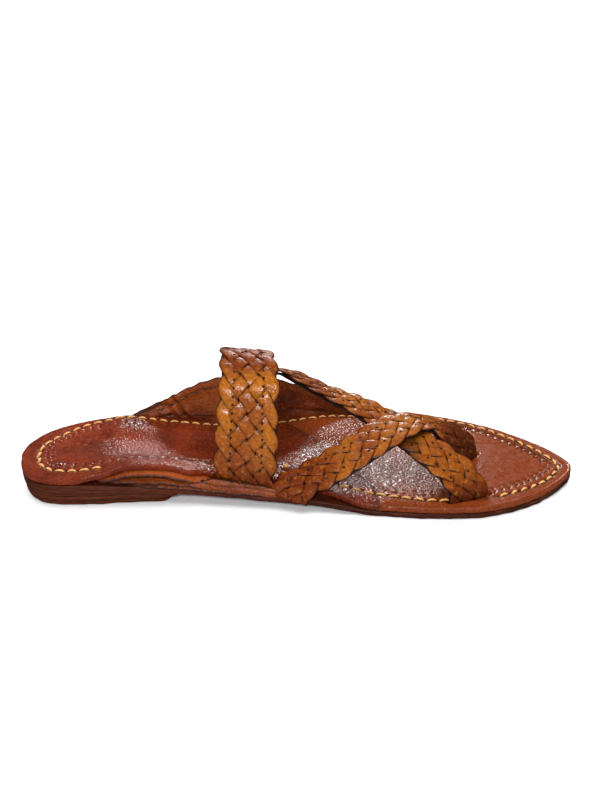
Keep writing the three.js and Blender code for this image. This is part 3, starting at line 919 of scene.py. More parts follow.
@dataclass(frozen=True)
class Stack:
    """The outsole and the heel's two lifts, which all but touch each other."""

    plan: Plan
    upper_end: float = -54.0
    lower_end: float = -59.0
    upper_shrink: float = 0.4
    lower_shrink: float = 0.9
    taper: float = 1.8
    round_end: float = 12.0
    seam_play: float = 0.15

    def closing(self, side: Side, end: float, shrink: float) -> Callable[[Array], Array]:
        """Return an edge that follows the outline and closes in a round before its end."""

        def edge(x: Array) -> Array:
            """Return y of this edge at x."""
            near, far = self.plan.edge(side, x), self.plan.edge(side.other, x)
            middle, half = (near + far) / 2, np.abs(near - far) / 2 - shrink
            ahead = np.clip((x - end + self.round_end) / self.round_end, 0.0, 1.0)
            return middle + side.value * np.maximum(half, 0.0) * np.sqrt(1 - ahead**4)

        return edge

    def lift(self, end: float, shrink: float, **settings: object) -> Layer:
        """Return one heel lift.

        Args:
            end: x where it ends in front.
            shrink: how far it stays inside the outline, in mm.
            settings: the layer's faces, rounding, flare, split and seed.
        """
        return Layer(
            shrink - self.plan.length / 2, end,
            self.closing(Side.MEDIAL, end, shrink), self.closing(Side.LATERAL, end, shrink),
            stations=160, profile_steps=14, wobble=0.2, ledge=0.3, **settings,
        )

    def build(self) -> None:
        """Build the three layers and let them stand for their frame nodes."""
        plan, play = self.plan, self.seam_play
        outsole = Layer(
            -plan.length / 2, plan.length / 2,
            partial(plan.edge, Side.MEDIAL), partial(plan.edge, Side.LATERAL),
            level_across(plan.outsole_top), level_across(plan.underside),
            profile_steps=10, rounding=0.9, wobble=0.18, seed=11,
        )
        upper = self.lift(
            self.upper_end, self.upper_shrink, rounding=0.7, flare=0.4, split_at=0.52, seed=12,
            top=level_across(plan.underside, -play), bottom=level_across(plan.lift_seam, play),
        )
        lower = self.lift(
            self.lower_end, self.lower_shrink, rounding=0.8, split_at=0.5, seed=13,
            flare=self.taper - self.lower_shrink,
            top=level_across(plan.lift_seam, -play), bottom=level_across(np.zeros_like),
        )
        sole, heel = SOLE_LEATHER.material(), HEEL_LEATHER.material()
        for name, layer, finish, slot in (
            ("outsole", outsole, sole, "sole_leather"),
            ("heel_lift_upper", upper, heel, "heel_leather"),
            ("heel_lift_lower", lower, heel, "heel_leather"),
        ):
            piece = layer.shape().piece(f"{name}_leather", finish, slot)
            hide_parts(name)


@dataclass(frozen=True)
class StitchLine:
    """The hand stitching round the footbed, a set distance in from the outline."""

    plan: Plan
    pitch: float = 6.1
    stitch: float = 4.9
    width: float = 1.4
    height: float = 0.85
    sunk: float = 0.28
    samples: int = 700

    # x, inset from the lateral edge
    lateral_rows: tuple = (
        (-142.5, 9.2), (-131, 8.3), (-120, 5.6), (-108, 4.2), (-86, 5.7), (-70, 7.9),
        (-40, 9.2), (-9, 7.6), (20, 5.6), (45, 4.6), (70, 3.4), (98, 3.4), (110, 4.0),
        (121, 4.9), (131, 5.4), (142.5, 6.7),
    )
    # x, inset from the medial edge
    medial_rows: tuple = (
        (-142.5, 9.2), (-131, 8.6), (-105, 8.4), (-90, 8.8), (-50, 11.5), (-9, 12.5),
        (21, 12.3), (36, 10.6), (52, 8.4), (67, 7.3), (93, 7.4), (116, 6.5), (129, 5.3),
        (142.5, 6.7),
    )
    # stretches of the medial side without stitches, as x from and to
    bare: tuple = ((-93.0, 17.0), (71.0, 95.0))

    def rows(self, side: Side) -> tuple:
        """Return the table of insets on one side."""
        return self.medial_rows if side is Side.MEDIAL else self.lateral_rows

    def inset(self, x: Array, y: Array) -> Array:
        """Return the line's inset from the outline nearest to a point."""
        medial, lateral = (Curve.through(self.rows(side), 1)(x) for side in Side)
        return np.where(self.plan.across_at(x, y) > 0, lateral, medial)

    def moved_in(self, side: Side, x: Array) -> Array:
        """Return one side's edge moved in by its inset, without points that turn back."""
        edge = np.stack([x, self.plan.edge(side, x)], axis=1)
        ahead = unit(np.gradient(edge, axis=0))
        inward = side.value * np.stack([ahead[:, 1], -ahead[:, 0]], axis=1)
        moved = edge + inward * Curve.through(self.rows(side), 1)(x)[:, None]
        return moved[np.concatenate([[True], np.diff(moved[:, 0]) > 0.0])]

    def route(self) -> Array:
        """Return the line's points, evenly spaced by the pitch, as a closed loop in x and y."""
        x = self.plan.x_at(np.linspace(0, 1, self.samples))
        medial, lateral = (self.moved_in(side, x) for side in Side)
        loop = np.vstack([lateral, medial[::-1], lateral[:1]])
        length = arc_length(loop)
        count = int(length[-1] / self.pitch)
        at = np.arange(count) * length[-1] / count
        return np.stack([np.interp(at, length, loop[:, axis]) for axis in (0, 1)], axis=1)

    def sewn(self, points: Array) -> Array:
        """Return whether the line is stitched at each point."""
        medial = self.plan.across_at(points[:, 0], points[:, 1]) < 0
        bare = np.zeros(len(points), bool)
        for start, end in self.bare:
            bare |= medial & (points[:, 0] > start) & (points[:, 0] < end)
        return ~bare

    def holes(self) -> Array:
        """Return the points where the thread goes through the leather."""
        route = self.route()
        half = unit(np.roll(route, -1, axis=0) - route) * self.stitch / 2
        return np.vstack([route - half, route + half])[np.tile(self.sewn(route), 2)]

    def shape(self, height: Callable[[Array, Array], Array]) -> Shape:
        """Return all the stitches: each a grain that bows up between its two holes.

        Along a stitch t goes from -1 to 1: its half width is sqrt(1 - t^4) of the full one, it
        stands up by 1 - t^2, and its section is an ellipse.
        """
        route = self.route()
        ahead = np.roll(route, -1, axis=0) - np.roll(route, 1, axis=0)
        keep = self.sewn(route)
        route, ahead = route[keep], ahead[keep]
        random = np.random.default_rng(5)
        turn = random.normal(0.0, 0.16, len(route))
        angle = (np.arctan2(ahead[:, 1], ahead[:, 0]) + turn)[:, None, None]
        long = (self.stitch * random.uniform(0.88, 1.1, len(route)))[:, None, None]
        t = np.linspace(-1, 1, 11)[None, :, None]
        phi = np.linspace(0, math.tau, 9)[None, None, :-1]
        girth = np.sqrt(np.maximum(1 - t**4, 0.05))
        ply = 1 + 0.12 * np.cos(2 * phi + 5.0 * t)
        side = -self.width / 2 * girth * np.cos(phi) * ply
        up = self.height * (0.45 * girth * np.sin(phi) * ply + 0.85 * (1 - t**2) - 0.35)
        forward = t * long / 2 + 0 * phi
        start_x, start_y = route.T[:, :, None, None]
        x = start_x + forward * np.cos(angle) - side * np.sin(angle)
        y = start_y + forward * np.sin(angle) + side * np.cos(angle)
        base = height(*route.T)[:, None, None]
        ends = height(x.mean(axis=2), y.mean(axis=2))[:, :, None]
        z = 0.4 * base + 0.6 * ends - self.sunk + up
        return Shape.joined([tube(stitch) for stitch in np.stack([x, y, z], axis=-1)])


@dataclass
class Marks:
    """What is pressed into leather, point by point: its depth in mm and how dark it is, mostly painted
    shade.
    """

    depth: Array
    dark: Array

    def press(self, depth: Array, dark: Array | float = 0.0) -> None:
        """Add a mark of this depth and darkness; the darker of two marks shows."""
        self.depth = self.depth + depth
        self.dark = np.maximum(self.dark, dark)


@dataclass(frozen=True)
class Footbed:
    """The insole that the foot rests on, with its stamped border, marks and stitching."""

    plan: Plan
    stitches: StitchLine
    legs: tuple = (((95.8, 1.8), (82.8, -13.0), 0.5), ((73.5, -44.2), (92.6, -37.2), 0.9))
    stamp_pitch: float = 5.0
    stamp_depth: float = 0.8
    stamp_inset: float = 5.4
    slit_depth: float = 2.6
    knot: tuple = (-6.2, -22.0)
    knot_radius: float = 1.35
    knot_ring: float = 3.2
    patch_line: tuple = ((-32.0, 38.0), (-20.0, 30.0), (-3.1, 18.6), (24.3, -6.6), (40.0, -16.0))
    heel_marks: tuple = ((-115.0, -3.4), (-110.6, -4.6))

    def edge(self, side: Side) -> Callable[[Array], Array]:
        """Return the footbed's own edge on one side."""
        return lambda x: self.plan.edge(side, x) - side.value * self.plan.inset(side, x)

    def patch(self, x: Array, y: Array) -> Array:
        """Return how far a point lies behind the line where the heel's cover ends, in mm."""
        return (Curve.through(self.patch_line, 1)(y) - x) * 0.74

    def stamps(self, along: Array, inside: Array, x: Array, y: Array) -> Array:
        """Return the stamped border's depth share.

        Lateral: a chain of zigzags and a line. Medial: chevrons, and rings at the waist. Heel:
        pairs of dots.

        Args:
            along: how far along the outline a point is, in mm.
            inside: how far in from the stitch line it is, in mm.
            x: its x.
            y: its y.
        """
        step = np.mod(along / self.stamp_pitch, 1.0) - 0.5
        run, mid = step * self.stamp_pitch, inside - self.stamp_inset
        zigzag = groove(mid - 1.5 + 6.0 * np.abs(step), 0.6) + groove(mid + 2.4, 0.5)
        arms = (np.abs(mid) > 0.4) & (np.abs(mid) < 2.3)
        chevron = groove(run - 0.8 * np.abs(mid), 0.55) * arms
        dots = groove(np.hypot(run, np.abs(mid) - 1.3), 0.8)
        rings = groove(np.hypot(run, mid) - 1.5, 0.6)
        lateral = self.plan.across_at(x, y) > 0
        fore = smoothstep(x, 38.0, 44.0)
        waist = smoothstep(x, -92.0, -88.0) * (1 - smoothstep(x, -44.0, -38.0)) * ~lateral
        back = (1 - smoothstep(x, -46.0, -40.0)) * (1 - waist)
        front = np.where(lateral, zigzag, chevron) * fore
        return np.clip(front + dots * back + rings * waist, 0.0, 1.0)

    def marks(self, x: Array, y: Array) -> tuple[Marks, Array]:
        """Return the marks at a point, and its distance from the outline."""
        along, distance = Border(self.plan).nearest(x, y)
        inside = distance - self.stitches.inset(x, y)
        stamped = self.stamps(along, inside, x, y)
        # the stamps' grooves get painted shade
        marks = Marks(self.stamp_depth * stamped, 0.4 * stamped)
        marks.press(0.28 * groove(inside, 1.0))
        marks.press(0.22 * groove(inside - 8.9, 0.9) * (x < -95))
        self.press_holes(marks, x, y)
        ring = np.hypot(x - self.knot[0], y - self.knot[1]) - self.knot_ring
        # the ring round the knot gets painted shade in its groove
        marks.press(0.7 * groove(ring, 0.65), 0.6 * groove(ring, 0.7))
        for mark in self.heel_marks:
            run, rise = x - mark[0], y - mark[1]
            turned = np.hypot((run * 0.8 + rise * 0.6) / 2.0, rise * 0.8 - run * 0.6)
            marks.press(0.7 * groove(turned, 0.7))
        line = self.patch(x, y)
        step = 0.3 * smoothstep(-line, -0.3, 0.5) + 0.2 * groove(line, 0.7)
        marks.press(step, 0.6 * groove(line + 0.2, 0.8))
        return marks, distance

    def press_holes(self, marks: Marks, x: Array, y: Array) -> None:
        """Press in the stitches' holes and the slits for the legs of the toe loop, with painted shade
        in both.
        """
        near = np.full(np.shape(x), 99.0)
        for hole in self.stitches.holes():
            near = np.minimum(near, np.hypot(x - hole[0], y - hole[1]))
        marks.press(0.75 * groove(near, 0.62), 0.85 * groove(near, 0.75))
        place = np.stack([x, y], axis=-1)
        for start, end, room in self.legs:
            gap = off_line(place, start, end)
            slit = 1 - smoothstep(gap, 1.5 + room * 0.4, 1.9 + room)
            marks.press(self.slit_depth * slit, 0.9 * slit)

    def relief(self, x: Array, y: Array) -> Array:
        """Return the soft hollows and ridges that wear has left, in mm."""
        place = np.stack([x, y], axis=-1)
        heel = -0.4 * groove(np.hypot((x + 110) / 1.3, y + 8), 24.0)
        ball = -0.7 * groove(np.hypot((x - 62) / 1.2, y + 4), 28.0)
        return heel + ball + 0.16 * ripple(place, 26.0, 31) + 0.05 * ripple(place, 5.0, 32)

    def surface(self, x: Array, y: Array) -> Array:
        """Return the worn upper face without its marks."""
        return self.plan.footbed_top(x, y) + self.relief(x, y)

    def marked(self, x: Array, y: Array) -> Array:
        """Return the upper face with its marks, which fade out at the cut edge."""
        marks, distance = self.marks(x, y)
        return self.surface(x, y) - marks.depth * smoothstep(distance, 0.5, 2.0)

    def insole(self) -> Shape:
        """Return the insole, with the values that its finish reads."""
        plan = self.plan
        shape = Layer(
            -plan.length / 2, plan.length / 2,
            self.edge(Side.MEDIAL), self.edge(Side.LATERAL), self.marked, plan.footbed_bottom,
            stations=500, columns=138, crowding=0.5, rounding=1.0, wobble=0.16,
            profile_steps=7, seed=21,
        ).shape()
        x, y, z = shape.points.T
        marks, _ = self.marks(x, y)
        upper = z > plan.footbed_bottom(x, y) + 1.2
        ends = np.maximum(smoothstep(-x, 92.0, 112.0), smoothstep(x, 72.0, 92.0))
        # pressed marks turn towards the edge colour as painted shade
        pressed = smoothstep(marks.depth, 0.12, 0.6) * 0.6 * upper
        shape.values["dark"] = np.where(upper, marks.dark, 0.0)
        shape.values["tone"] = smoothstep(-self.patch(x, y), -0.6, 0.6)
        shape.values["smooth"] = 0.75 * ends
        shape.values["edge"] = np.maximum(shape.values["edge"], pressed)
        return shape

    def build(self) -> None:
        """Build the insole, its stitches and the thread knot."""
        insole = self.insole().piece(
            "footbed_insole", FOOTBED_LEATHER.material(), "footbed_leather"
        )
        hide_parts("footbed")
        thread = CREAM_THREAD.material()
        stitches = self.stitches.shape(self.surface)
        stitches.piece("footbed_stitches", thread, "footbed_leather")
        self.knot_shape().piece("footbed_knot", thread, "footbed_leather")

    def knot_shape(self) -> Shape:
        """Return the thread's knot: a small ball with a wavy skin, half sunk in the leather."""
        theta = np.linspace(0.05, math.pi - 0.05, 12)[:, None]
        phi = np.linspace(0, math.tau, 17)[None, :-1]
        radius = self.knot_radius * (1 + 0.12 * np.cos(3 * phi + 4 * theta))
        middle_x, middle_y = self.knot
        x = middle_x - radius * np.cos(theta)
        y = middle_y - 0.85 * radius * np.sin(theta) * np.cos(phi)
        base = self.surface(np.array(middle_x), np.array(middle_y)) + 0.1
        z = base + 0.8 * radius * np.sin(theta) * np.sin(phi)
        return tube(np.stack([x, y, z], axis=-1))


# ------------------------------------------------------------------ braided straps


@dataclass(frozen=True)
class Plait:
    """A flat plait of laces: each swings from edge to edge and goes over one, under one.

    rising_first says whether a lace that leaves an edge goes over (-1) or under (1) the next
    one on its way from the rear edge to the front edge.
    """

    width: float
    petal_pitch: float
    laces: int
    rising_first: int
    lace_width: float
    thickness: float = 1.15
    lift: float = 0.42
    sharpness: float = 0.95
    firmness: float = 2.2

    @property
    def period(self) -> float:
        """The length of strap in which a lace goes to the far edge and back."""
        return self.petal_pitch * self.laces

    def across(self, phase: Array) -> Array:
        """Return a lace's place across: 2/pi asin(m sin(2 pi phase - pi/2)) of half the width."""
        wave = np.sin(math.tau * phase - math.pi / 2)
        return self.width / 2 * (2 / math.pi) * np.arcsin(self.sharpness * wave)

    def height(self, phase: Array) -> Array:
        """Return a lace's height: a firm cosine whose crests and troughs are its crossings.

        A traverse has a crossing at every n-th part of it. At the turns the wave goes at half
        its pace, so that a lace passes level through the edge.
        """
        share = np.mod(phase, 1.0)
        falling = (share >= 0.5).astype(float)
        steps = np.mod(2 * share, 1.0) * self.laces
        last = self.laces - 1
        pace = np.where(steps < 1, 0.5 + 0.5 * steps, steps)
        pace = np.where(steps > last, last + 0.5 * (steps - last), pace)
        wave = np.cos(math.pi * (falling * last + pace))
        firm = np.tanh(self.firmness * wave) / math.tanh(self.firmness)
        return self.rising_first * self.lift * firm


@dataclass(frozen=True)
class Ribbon:
    """A strap's middle surface: its middle line, length, width and directions by sample."""

    middle: Array
    across: Array
    outward: Array
    width: Array
    length: Array

    @classmethod
    def between(cls, rows: tuple, facing: int, samples: int) -> "Ribbon":
        """Return the ribbon between the two edges of a table.

        Args:
            rows: rear edge x, y, z and front edge x, y, z, by row.
            facing: 1 or -1, which of its two sides is the outer one.
            samples: how many places along it are worked out.
        """
        share = np.linspace(0, 1, samples)
        rear, front = (through_points(edge, share) for edge in np.hsplit(np.array(rows, float), 2))
        middle = (rear + front) / 2
        across = unit(front - rear)
        outward = facing * unit(np.cross(np.gradient(middle, axis=0), across))
        width = np.linalg.norm(front - rear, axis=1)
        return cls(middle, across, outward, width, arc_length(middle))

    def read(self, values: Array, s: Array) -> Array:
        """Return values by sample at s mm along, with any coordinates last."""
        flat = np.clip(np.ravel(s), 0, self.length[-1])
        columns = values.reshape(len(self.length), -1).T
        found = [np.interp(flat, self.length, column) for column in columns]
        return np.stack(found, axis=-1).reshape(*np.shape(s), -1)

    def at(self, s: Array, u: Array, w: Array | float = 0.0) -> Array:
        """Return points at s mm along, u widths across and w mm out from the middle surface."""
        aside = self.read(self.across, s) * self.read(self.width, s) * u[..., None]
        return self.read(self.middle, s) + aside + self.read(self.outward, s) * np.asarray(w)[..., None]


@dataclass(frozen=True)
class Strap:
    """A braided strap: its middle surface, its plait and the lining under it."""

    name: str
    rows: tuple
    plait: Plait
    tone: Callable[[Array], Array]
    shade: Callable[[Array], Array]
    wall: float = 3.2
    lining: float = 0.75
    samples: int = 700
    facing: int = 1
    hole_offset: float = 0.5
    hole_pitch: float = 4.0

    def lace(self, ribbon: Ribbon, number: int) -> Shape:
        """Return one lace: a flat section with round sides and a crowned face along its path."""
        plait = self.plait
        total = ribbon.length[-1]
        s = np.linspace(0.0, total, int(total / LACE_STEP))
        phase = s / plait.period + number / plait.laces
        u, w = plait.across(phase), plait.height(phase)
        run, rise = np.gradient(s), np.gradient(u)
        size = np.hypot(run, rise)
        phi = np.linspace(0, math.tau, LACE_SIDES + 1)[:-1]
        flat = np.sign(np.cos(phi)) * np.abs(np.cos(phi)) ** 0.55
        deep = np.sign(np.sin(phi)) * np.abs(np.sin(phi)) ** 0.7
        crown = 0.06 * np.maximum(np.sin(phi), 0) * (1 - flat**2) - 0.14 * np.abs(flat) ** 6
        half = plait.lace_width / 2 * (1 + 0.05 * ripple(s[:, None], 14.0, number))
        aside = half[:, None] * flat
        place_s = s[:, None] + (rise / size)[:, None] * aside
        place_u = u[:, None] - (run / size)[:, None] * aside
        middle = self.wall / 2 - plait.lift - plait.thickness / 2
        place_w = middle + w[:, None] + plait.thickness / 2 * deep + crown
        points = ribbon.at(place_s, place_u / plait.width, place_w)
        # the sides turn to the dark edge colour: partly cut edges, partly painted shade between laces
        edge = np.broadcast_to(smoothstep(np.abs(flat), 0.74, 0.96), place_s.shape)
        # painted shade on a lace's sides where it goes under another
        under = 0.5 * smoothstep(-w, 0.1, plait.lift)[:, None] * (np.abs(flat) > 0.7)
        tone = np.clip(self.tone(points) + 0.12 * ripple(points, 9.0, number + 40), 0, 1)
        values = {"edge": edge, "dark": np.maximum(under, self.shade(points)), "tone": tone}
        return tube(points, values, np.stack([place_s, place_u], axis=-1) * MM)

    def lining_shape(self, ribbon: Ribbon) -> Shape:
        """Return the plain strip under the plait, a little narrower than it."""
        total = ribbon.length[-1]
        s, share = sheet_grid(0.0, total, int(total / 1.6), 15)
        u = mix(-LINING_SHARE, LINING_SHARE, share) / 2 * (1 + 0.012 * ripple(s[..., None], 8.0, 3))
        middle = ribbon.at(s, u, (self.lining - self.wall) / 2)
        return thick_sheet(middle, self.lining, {"dark": 0.0, "tone": 0.0})

    def thread_shape(self, ribbon: Ribbon, laces: Shape) -> Shape:
        """Return the two rows of dark thread that go down into the plait, a bead at each hole.
        The beads are partly thread and partly painted shade of the holes.

        A bead lies on the highest lace point within 0.8 mm of its place across the surface.
        """
        total = ribbon.length[-1]
        s = np.arange(9.0, total - 9.0, self.hole_pitch)
        offset = self.hole_offset / 2
        s = np.concatenate([s, s + self.hole_pitch / 3])
        u = np.where(np.arange(len(s)) < len(s) / 2, -offset, offset)
        s = s + 0.3 * ripple(s[:, None], 9.0, 8)
        flat = ribbon.at(s, u)
        outward = ribbon.at(s, u, 1.0) - flat
        gaps = laces.points[None] - flat[:, None]
        rise = (gaps * outward[:, None]).sum(axis=-1)
        away = np.linalg.norm(gaps - rise[..., None] * outward[:, None], axis=-1)
        top = np.where(away < 0.8, rise, -9.0).max(axis=1)
        ahead = unit(ribbon.at(s + 0.5, u) - flat)
        side = np.cross(ahead, outward)
        theta = np.linspace(0.1, math.pi - 0.1, 7)[:, None]
        phi = np.linspace(0, math.tau, 9)[None, :-1]
        lengthwise = (1.25 * BEAD_RADIUS * np.cos(theta) + 0 * phi)[..., None]
        sideways = (BEAD_RADIUS * np.sin(theta) * np.cos(phi))[..., None]
        upwards = (0.24 * np.sin(theta) * np.sin(phi) - 0.02)[..., None]
        return Shape.joined(
            [
                tube(centre + out * (height + upwards) - forward * lengthwise + beside * sideways)
                for centre, out, forward, beside, height in zip(flat, outward, ahead, side, top)
                if height >= 0
            ]
        )

    def build(self, finishes: dict[str, bpy.types.Material]) -> bpy.types.Object:
        """Build the laces, the lining and the thread, and return the laces' object."""
        ribbon = Ribbon.between(self.rows, self.facing, self.samples)
        laces = Shape.joined([self.lace(ribbon, number) for number in range(self.plait.laces)])
        made = laces.piece(f"{self.name}_plait", finishes["lace"], BRAID_SLOT)
        self.lining_shape(ribbon).piece(f"{self.name}_lining", finishes["lining"], BRAID_SLOT)
        threads = self.thread_shape(ribbon, laces)
        threads.piece(f"{self.name}_thread", finishes["thread"], BRAID_SLOT)
        return made


# rear edge x, y, z, front edge x, y, z
BAND_ROWS = (
    (-41.0, -34.5, 10.7, -11.5, -38.1, 9.6), (-40.8, -34.8, 17.5, -11.3, -38.0, 14.5),
    (-39.8, -34.5, 28.5, -9.8, -37.3, 25.0), (-38.8, -33.0, 41.5, -9.4, -35.3, 38.0),
    (-37.5, -30.0, 53.0, -9.6, -31.8, 50.5), (-37.0, -26.5, 60.0, -9.0, -27.5, 59.0),
    (-37.2, -20.0, 64.8, -9.5, -20.5, 63.5), (-38.0, -9.0, 68.0, -11.5, -9.0, 66.0),
    (-39.0, 1.0, 66.5, -13.5, 1.0, 64.5), (-40.0, 10.0, 60.5, -14.0, 10.5, 58.5),
    (-40.8, 17.5, 51.5, -14.2, 19.0, 49.5), (-41.2, 21.8, 40.0, -14.0, 24.6, 38.0),
    (-41.2, 24.0, 26.0, -13.8, 27.2, 25.0), (-41.0, 24.4, 11.2, -13.8, 27.8, 10.2),
)
UPPER_ROWS = (
    (-14.5, -40.4, 7.8, 4.6, -46.2, 4.4), (-13.0, -38.4, 11.0, 5.2, -45.0, 7.4),
    (-9.0, -35.2, 14.4, 8.5, -43.6, 9.8),
    (0.0, -31.8, 17.3, 15.0, -43.2, 12.8), (9.0, -28.3, 21.2, 22.5, -41.3, 17.0),
    (18.0, -24.3, 24.7, 31.0, -38.2, 21.3), (27.0, -19.3, 28.2, 39.5, -33.8, 25.0),
    (36.5, -13.2, 31.2, 48.0, -29.0, 28.2), (46.5, -7.5, 32.8, 57.0, -23.5, 30.6),
    (57.5, -2.0, 31.5, 64.0, -18.8, 31.0), (67.0, 1.2, 28.5, 68.6, -16.2, 29.0),
    (76.5, 1.5, 25.5, 71.2, -15.4, 24.8), (84.5, 1.0, 22.5, 73.8, -15.0, 19.5),
    (91.0, 1.0, 17.8, 77.5, -14.5, 13.8), (95.0, 1.5, 11.8, 81.3, -13.5, 9.2),
    (95.8, 1.8, 6.5, 82.8, -13.0, 6.3), (95.8, 1.8, 3.6, 82.8, -13.0, 3.6),
)
LOWER_ROWS = (
    (-33.0, 16.5, 48.5, -23.0, 22.3, 37.0), (-21.0, 12.0, 53.0, -15.5, 21.3, 43.0),
    (-12.0, 6.5, 53.0, -8.8, 20.0, 46.3), (-4.0, 3.3, 49.8, -1.4, 18.8, 46.3),
    (2.0, 1.2, 46.6, 6.8, 16.5, 43.8), (9.5, -1.5, 43.2, 15.5, 13.8, 40.5),
    (18.5, -5.0, 39.3, 26.3, 10.5, 37.9), (27.5, -8.5, 35.3, 34.0, 8.0, 36.3),
    (34.5, -11.5, 31.8, 41.5, 5.3, 34.0), (41.5, -15.0, 29.3, 49.0, 2.5, 31.0),
    (46.5, -20.5, 27.3, 56.0, -3.0, 29.0), (51.0, -26.3, 25.2, 62.0, -11.5, 28.0),
    (55.8, -31.0, 22.8, 67.2, -19.0, 27.6), (61.2, -34.6, 19.6, 72.8, -23.3, 25.9),
    (66.2, -38.2, 16.7, 79.3, -27.3, 22.5), (70.0, -41.0, 13.3, 85.8, -30.8, 18.0),
    (72.5, -43.0, 9.8, 90.2, -34.3, 12.6), (73.5, -44.0, 6.6, 92.6, -37.0, 6.8),
    (73.5, -44.2, 3.6, 92.6, -37.2, 3.6),
)


@dataclass(frozen=True)
class Upper:
    """The instep band and the two crossing straps that end as the big-toe loop."""

    def band_tone(self, points: Array) -> Array:
        """Return the ruddiness of the band: at its foot, over its top and on the far side."""
        y, z = points[..., 1], points[..., 2]
        near_foot = 1 - smoothstep(z, 10.0, 33.0)
        return np.maximum(near_foot, smoothstep(y, -27.0, -19.0) * 0.8)

    def upper_tone(self, points: Array) -> Array:
        """Return the ruddiness of the upper strap: at both of its ends; at the toe loop's end it is
        partly painted shade.
        """
        x = points[..., 0]
        ends = np.maximum(1 - smoothstep(x, 2.0, 34.0), smoothstep(x, 66.0, 76.0))
        return np.maximum(ends, 0.35)

    def lower_tone(self, points: Array) -> Array:
        """Return the ruddiness of the lower strap: by the band and at the toe loop's foot, where it
        reaches up the leg partly as painted shade.
        """
        x, z = points[..., 0], points[..., 2]
        ends = np.maximum(0.8 * (1 - smoothstep(x, 10.0, 32.0)), 1 - smoothstep(z, 8.0, 24.0))
        return np.maximum(ends, 0.4)

    def unshaded(self, points: Array) -> Array:
        """Return no painted shade anywhere."""
        return np.zeros(points.shape[:-1])

    def upper_shade(self, points: Array) -> Array:
        """Return painted shade on the toe loop's far side."""
        return 0.5 * smoothstep(points[..., 0], 74.0, 82.0)

    def lower_shade(self, points: Array) -> Array:
        """Return painted shade on the toe loop's near side, under the crossing and low down."""
        x, z = points[..., 0], points[..., 2]
        crossed = smoothstep(x, 46.0, 50.0) * (1 - smoothstep(x, 56.0, 63.0))
        return 0.55 * crossed + 0.35 * (1 - smoothstep(z, 6.0, 15.0))

    def build(self) -> None:
        """Build the three straps; the band's plait stands for the frame's one solid."""
        finishes = {
            "lace": LACE_LEATHER.material(),
            "lining": LINING_LEATHER.material(),
            "thread": THREAD_AND_HOLE_SHADE.material(),
        }
        broad = Plait(30.0, petal_pitch=12.5, laces=6, rising_first=1, lace_width=7.3)
        narrow = Plait(20.0, petal_pitch=11.0, laces=5, rising_first=-1, lace_width=6.1)
        straps = (
            Strap("instep_band", BAND_ROWS, broad, self.band_tone, self.unshaded, facing=-1),
            Strap(
                "upper_strap", UPPER_ROWS, narrow, self.upper_tone, self.upper_shade,
                facing=-1, hole_pitch=5.0,
            ),
            Strap(
                "lower_strap", LOWER_ROWS, narrow, self.lower_tone, self.lower_shade,
                hole_pitch=5.0,
            ),
        )
        for strap in straps:
            made = strap.build(finishes)
            if strap.rows is BAND_ROWS:
                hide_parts("upper")


# ------------------------------------------------------------------ ears


@dataclass(frozen=True)
class Crease:
    """A soft trough or ridge across an ear: two ends as x and share of height, and a height."""

    start: tuple[float, float]
    end: tuple[float, float]
    rise: float
    width: float

    def at(self, x: Array, z: Array) -> Array:
        """Return the crease's height at places x, z in mm: a bell round its line."""
        gap = off_line(np.stack([x, z], axis=-1), self.start, self.end)
        return self.rise * groove(gap, self.width)


@dataclass(frozen=True)
class Leaf:
    """One leaf of the folded medial ear, from under the footbed out to its edge.

    It lies level of the way up from the outsole to the footbed, plus raised mm. Its edge stands
    out from the outline by the first value of out, and by the second one past the turn, which
    is given as x from and to.
    """

    start: float
    end: float
    level: float
    raised: float
    out: tuple[float, float]
    turn: tuple[float, float]
    thickness: float
    seed: int


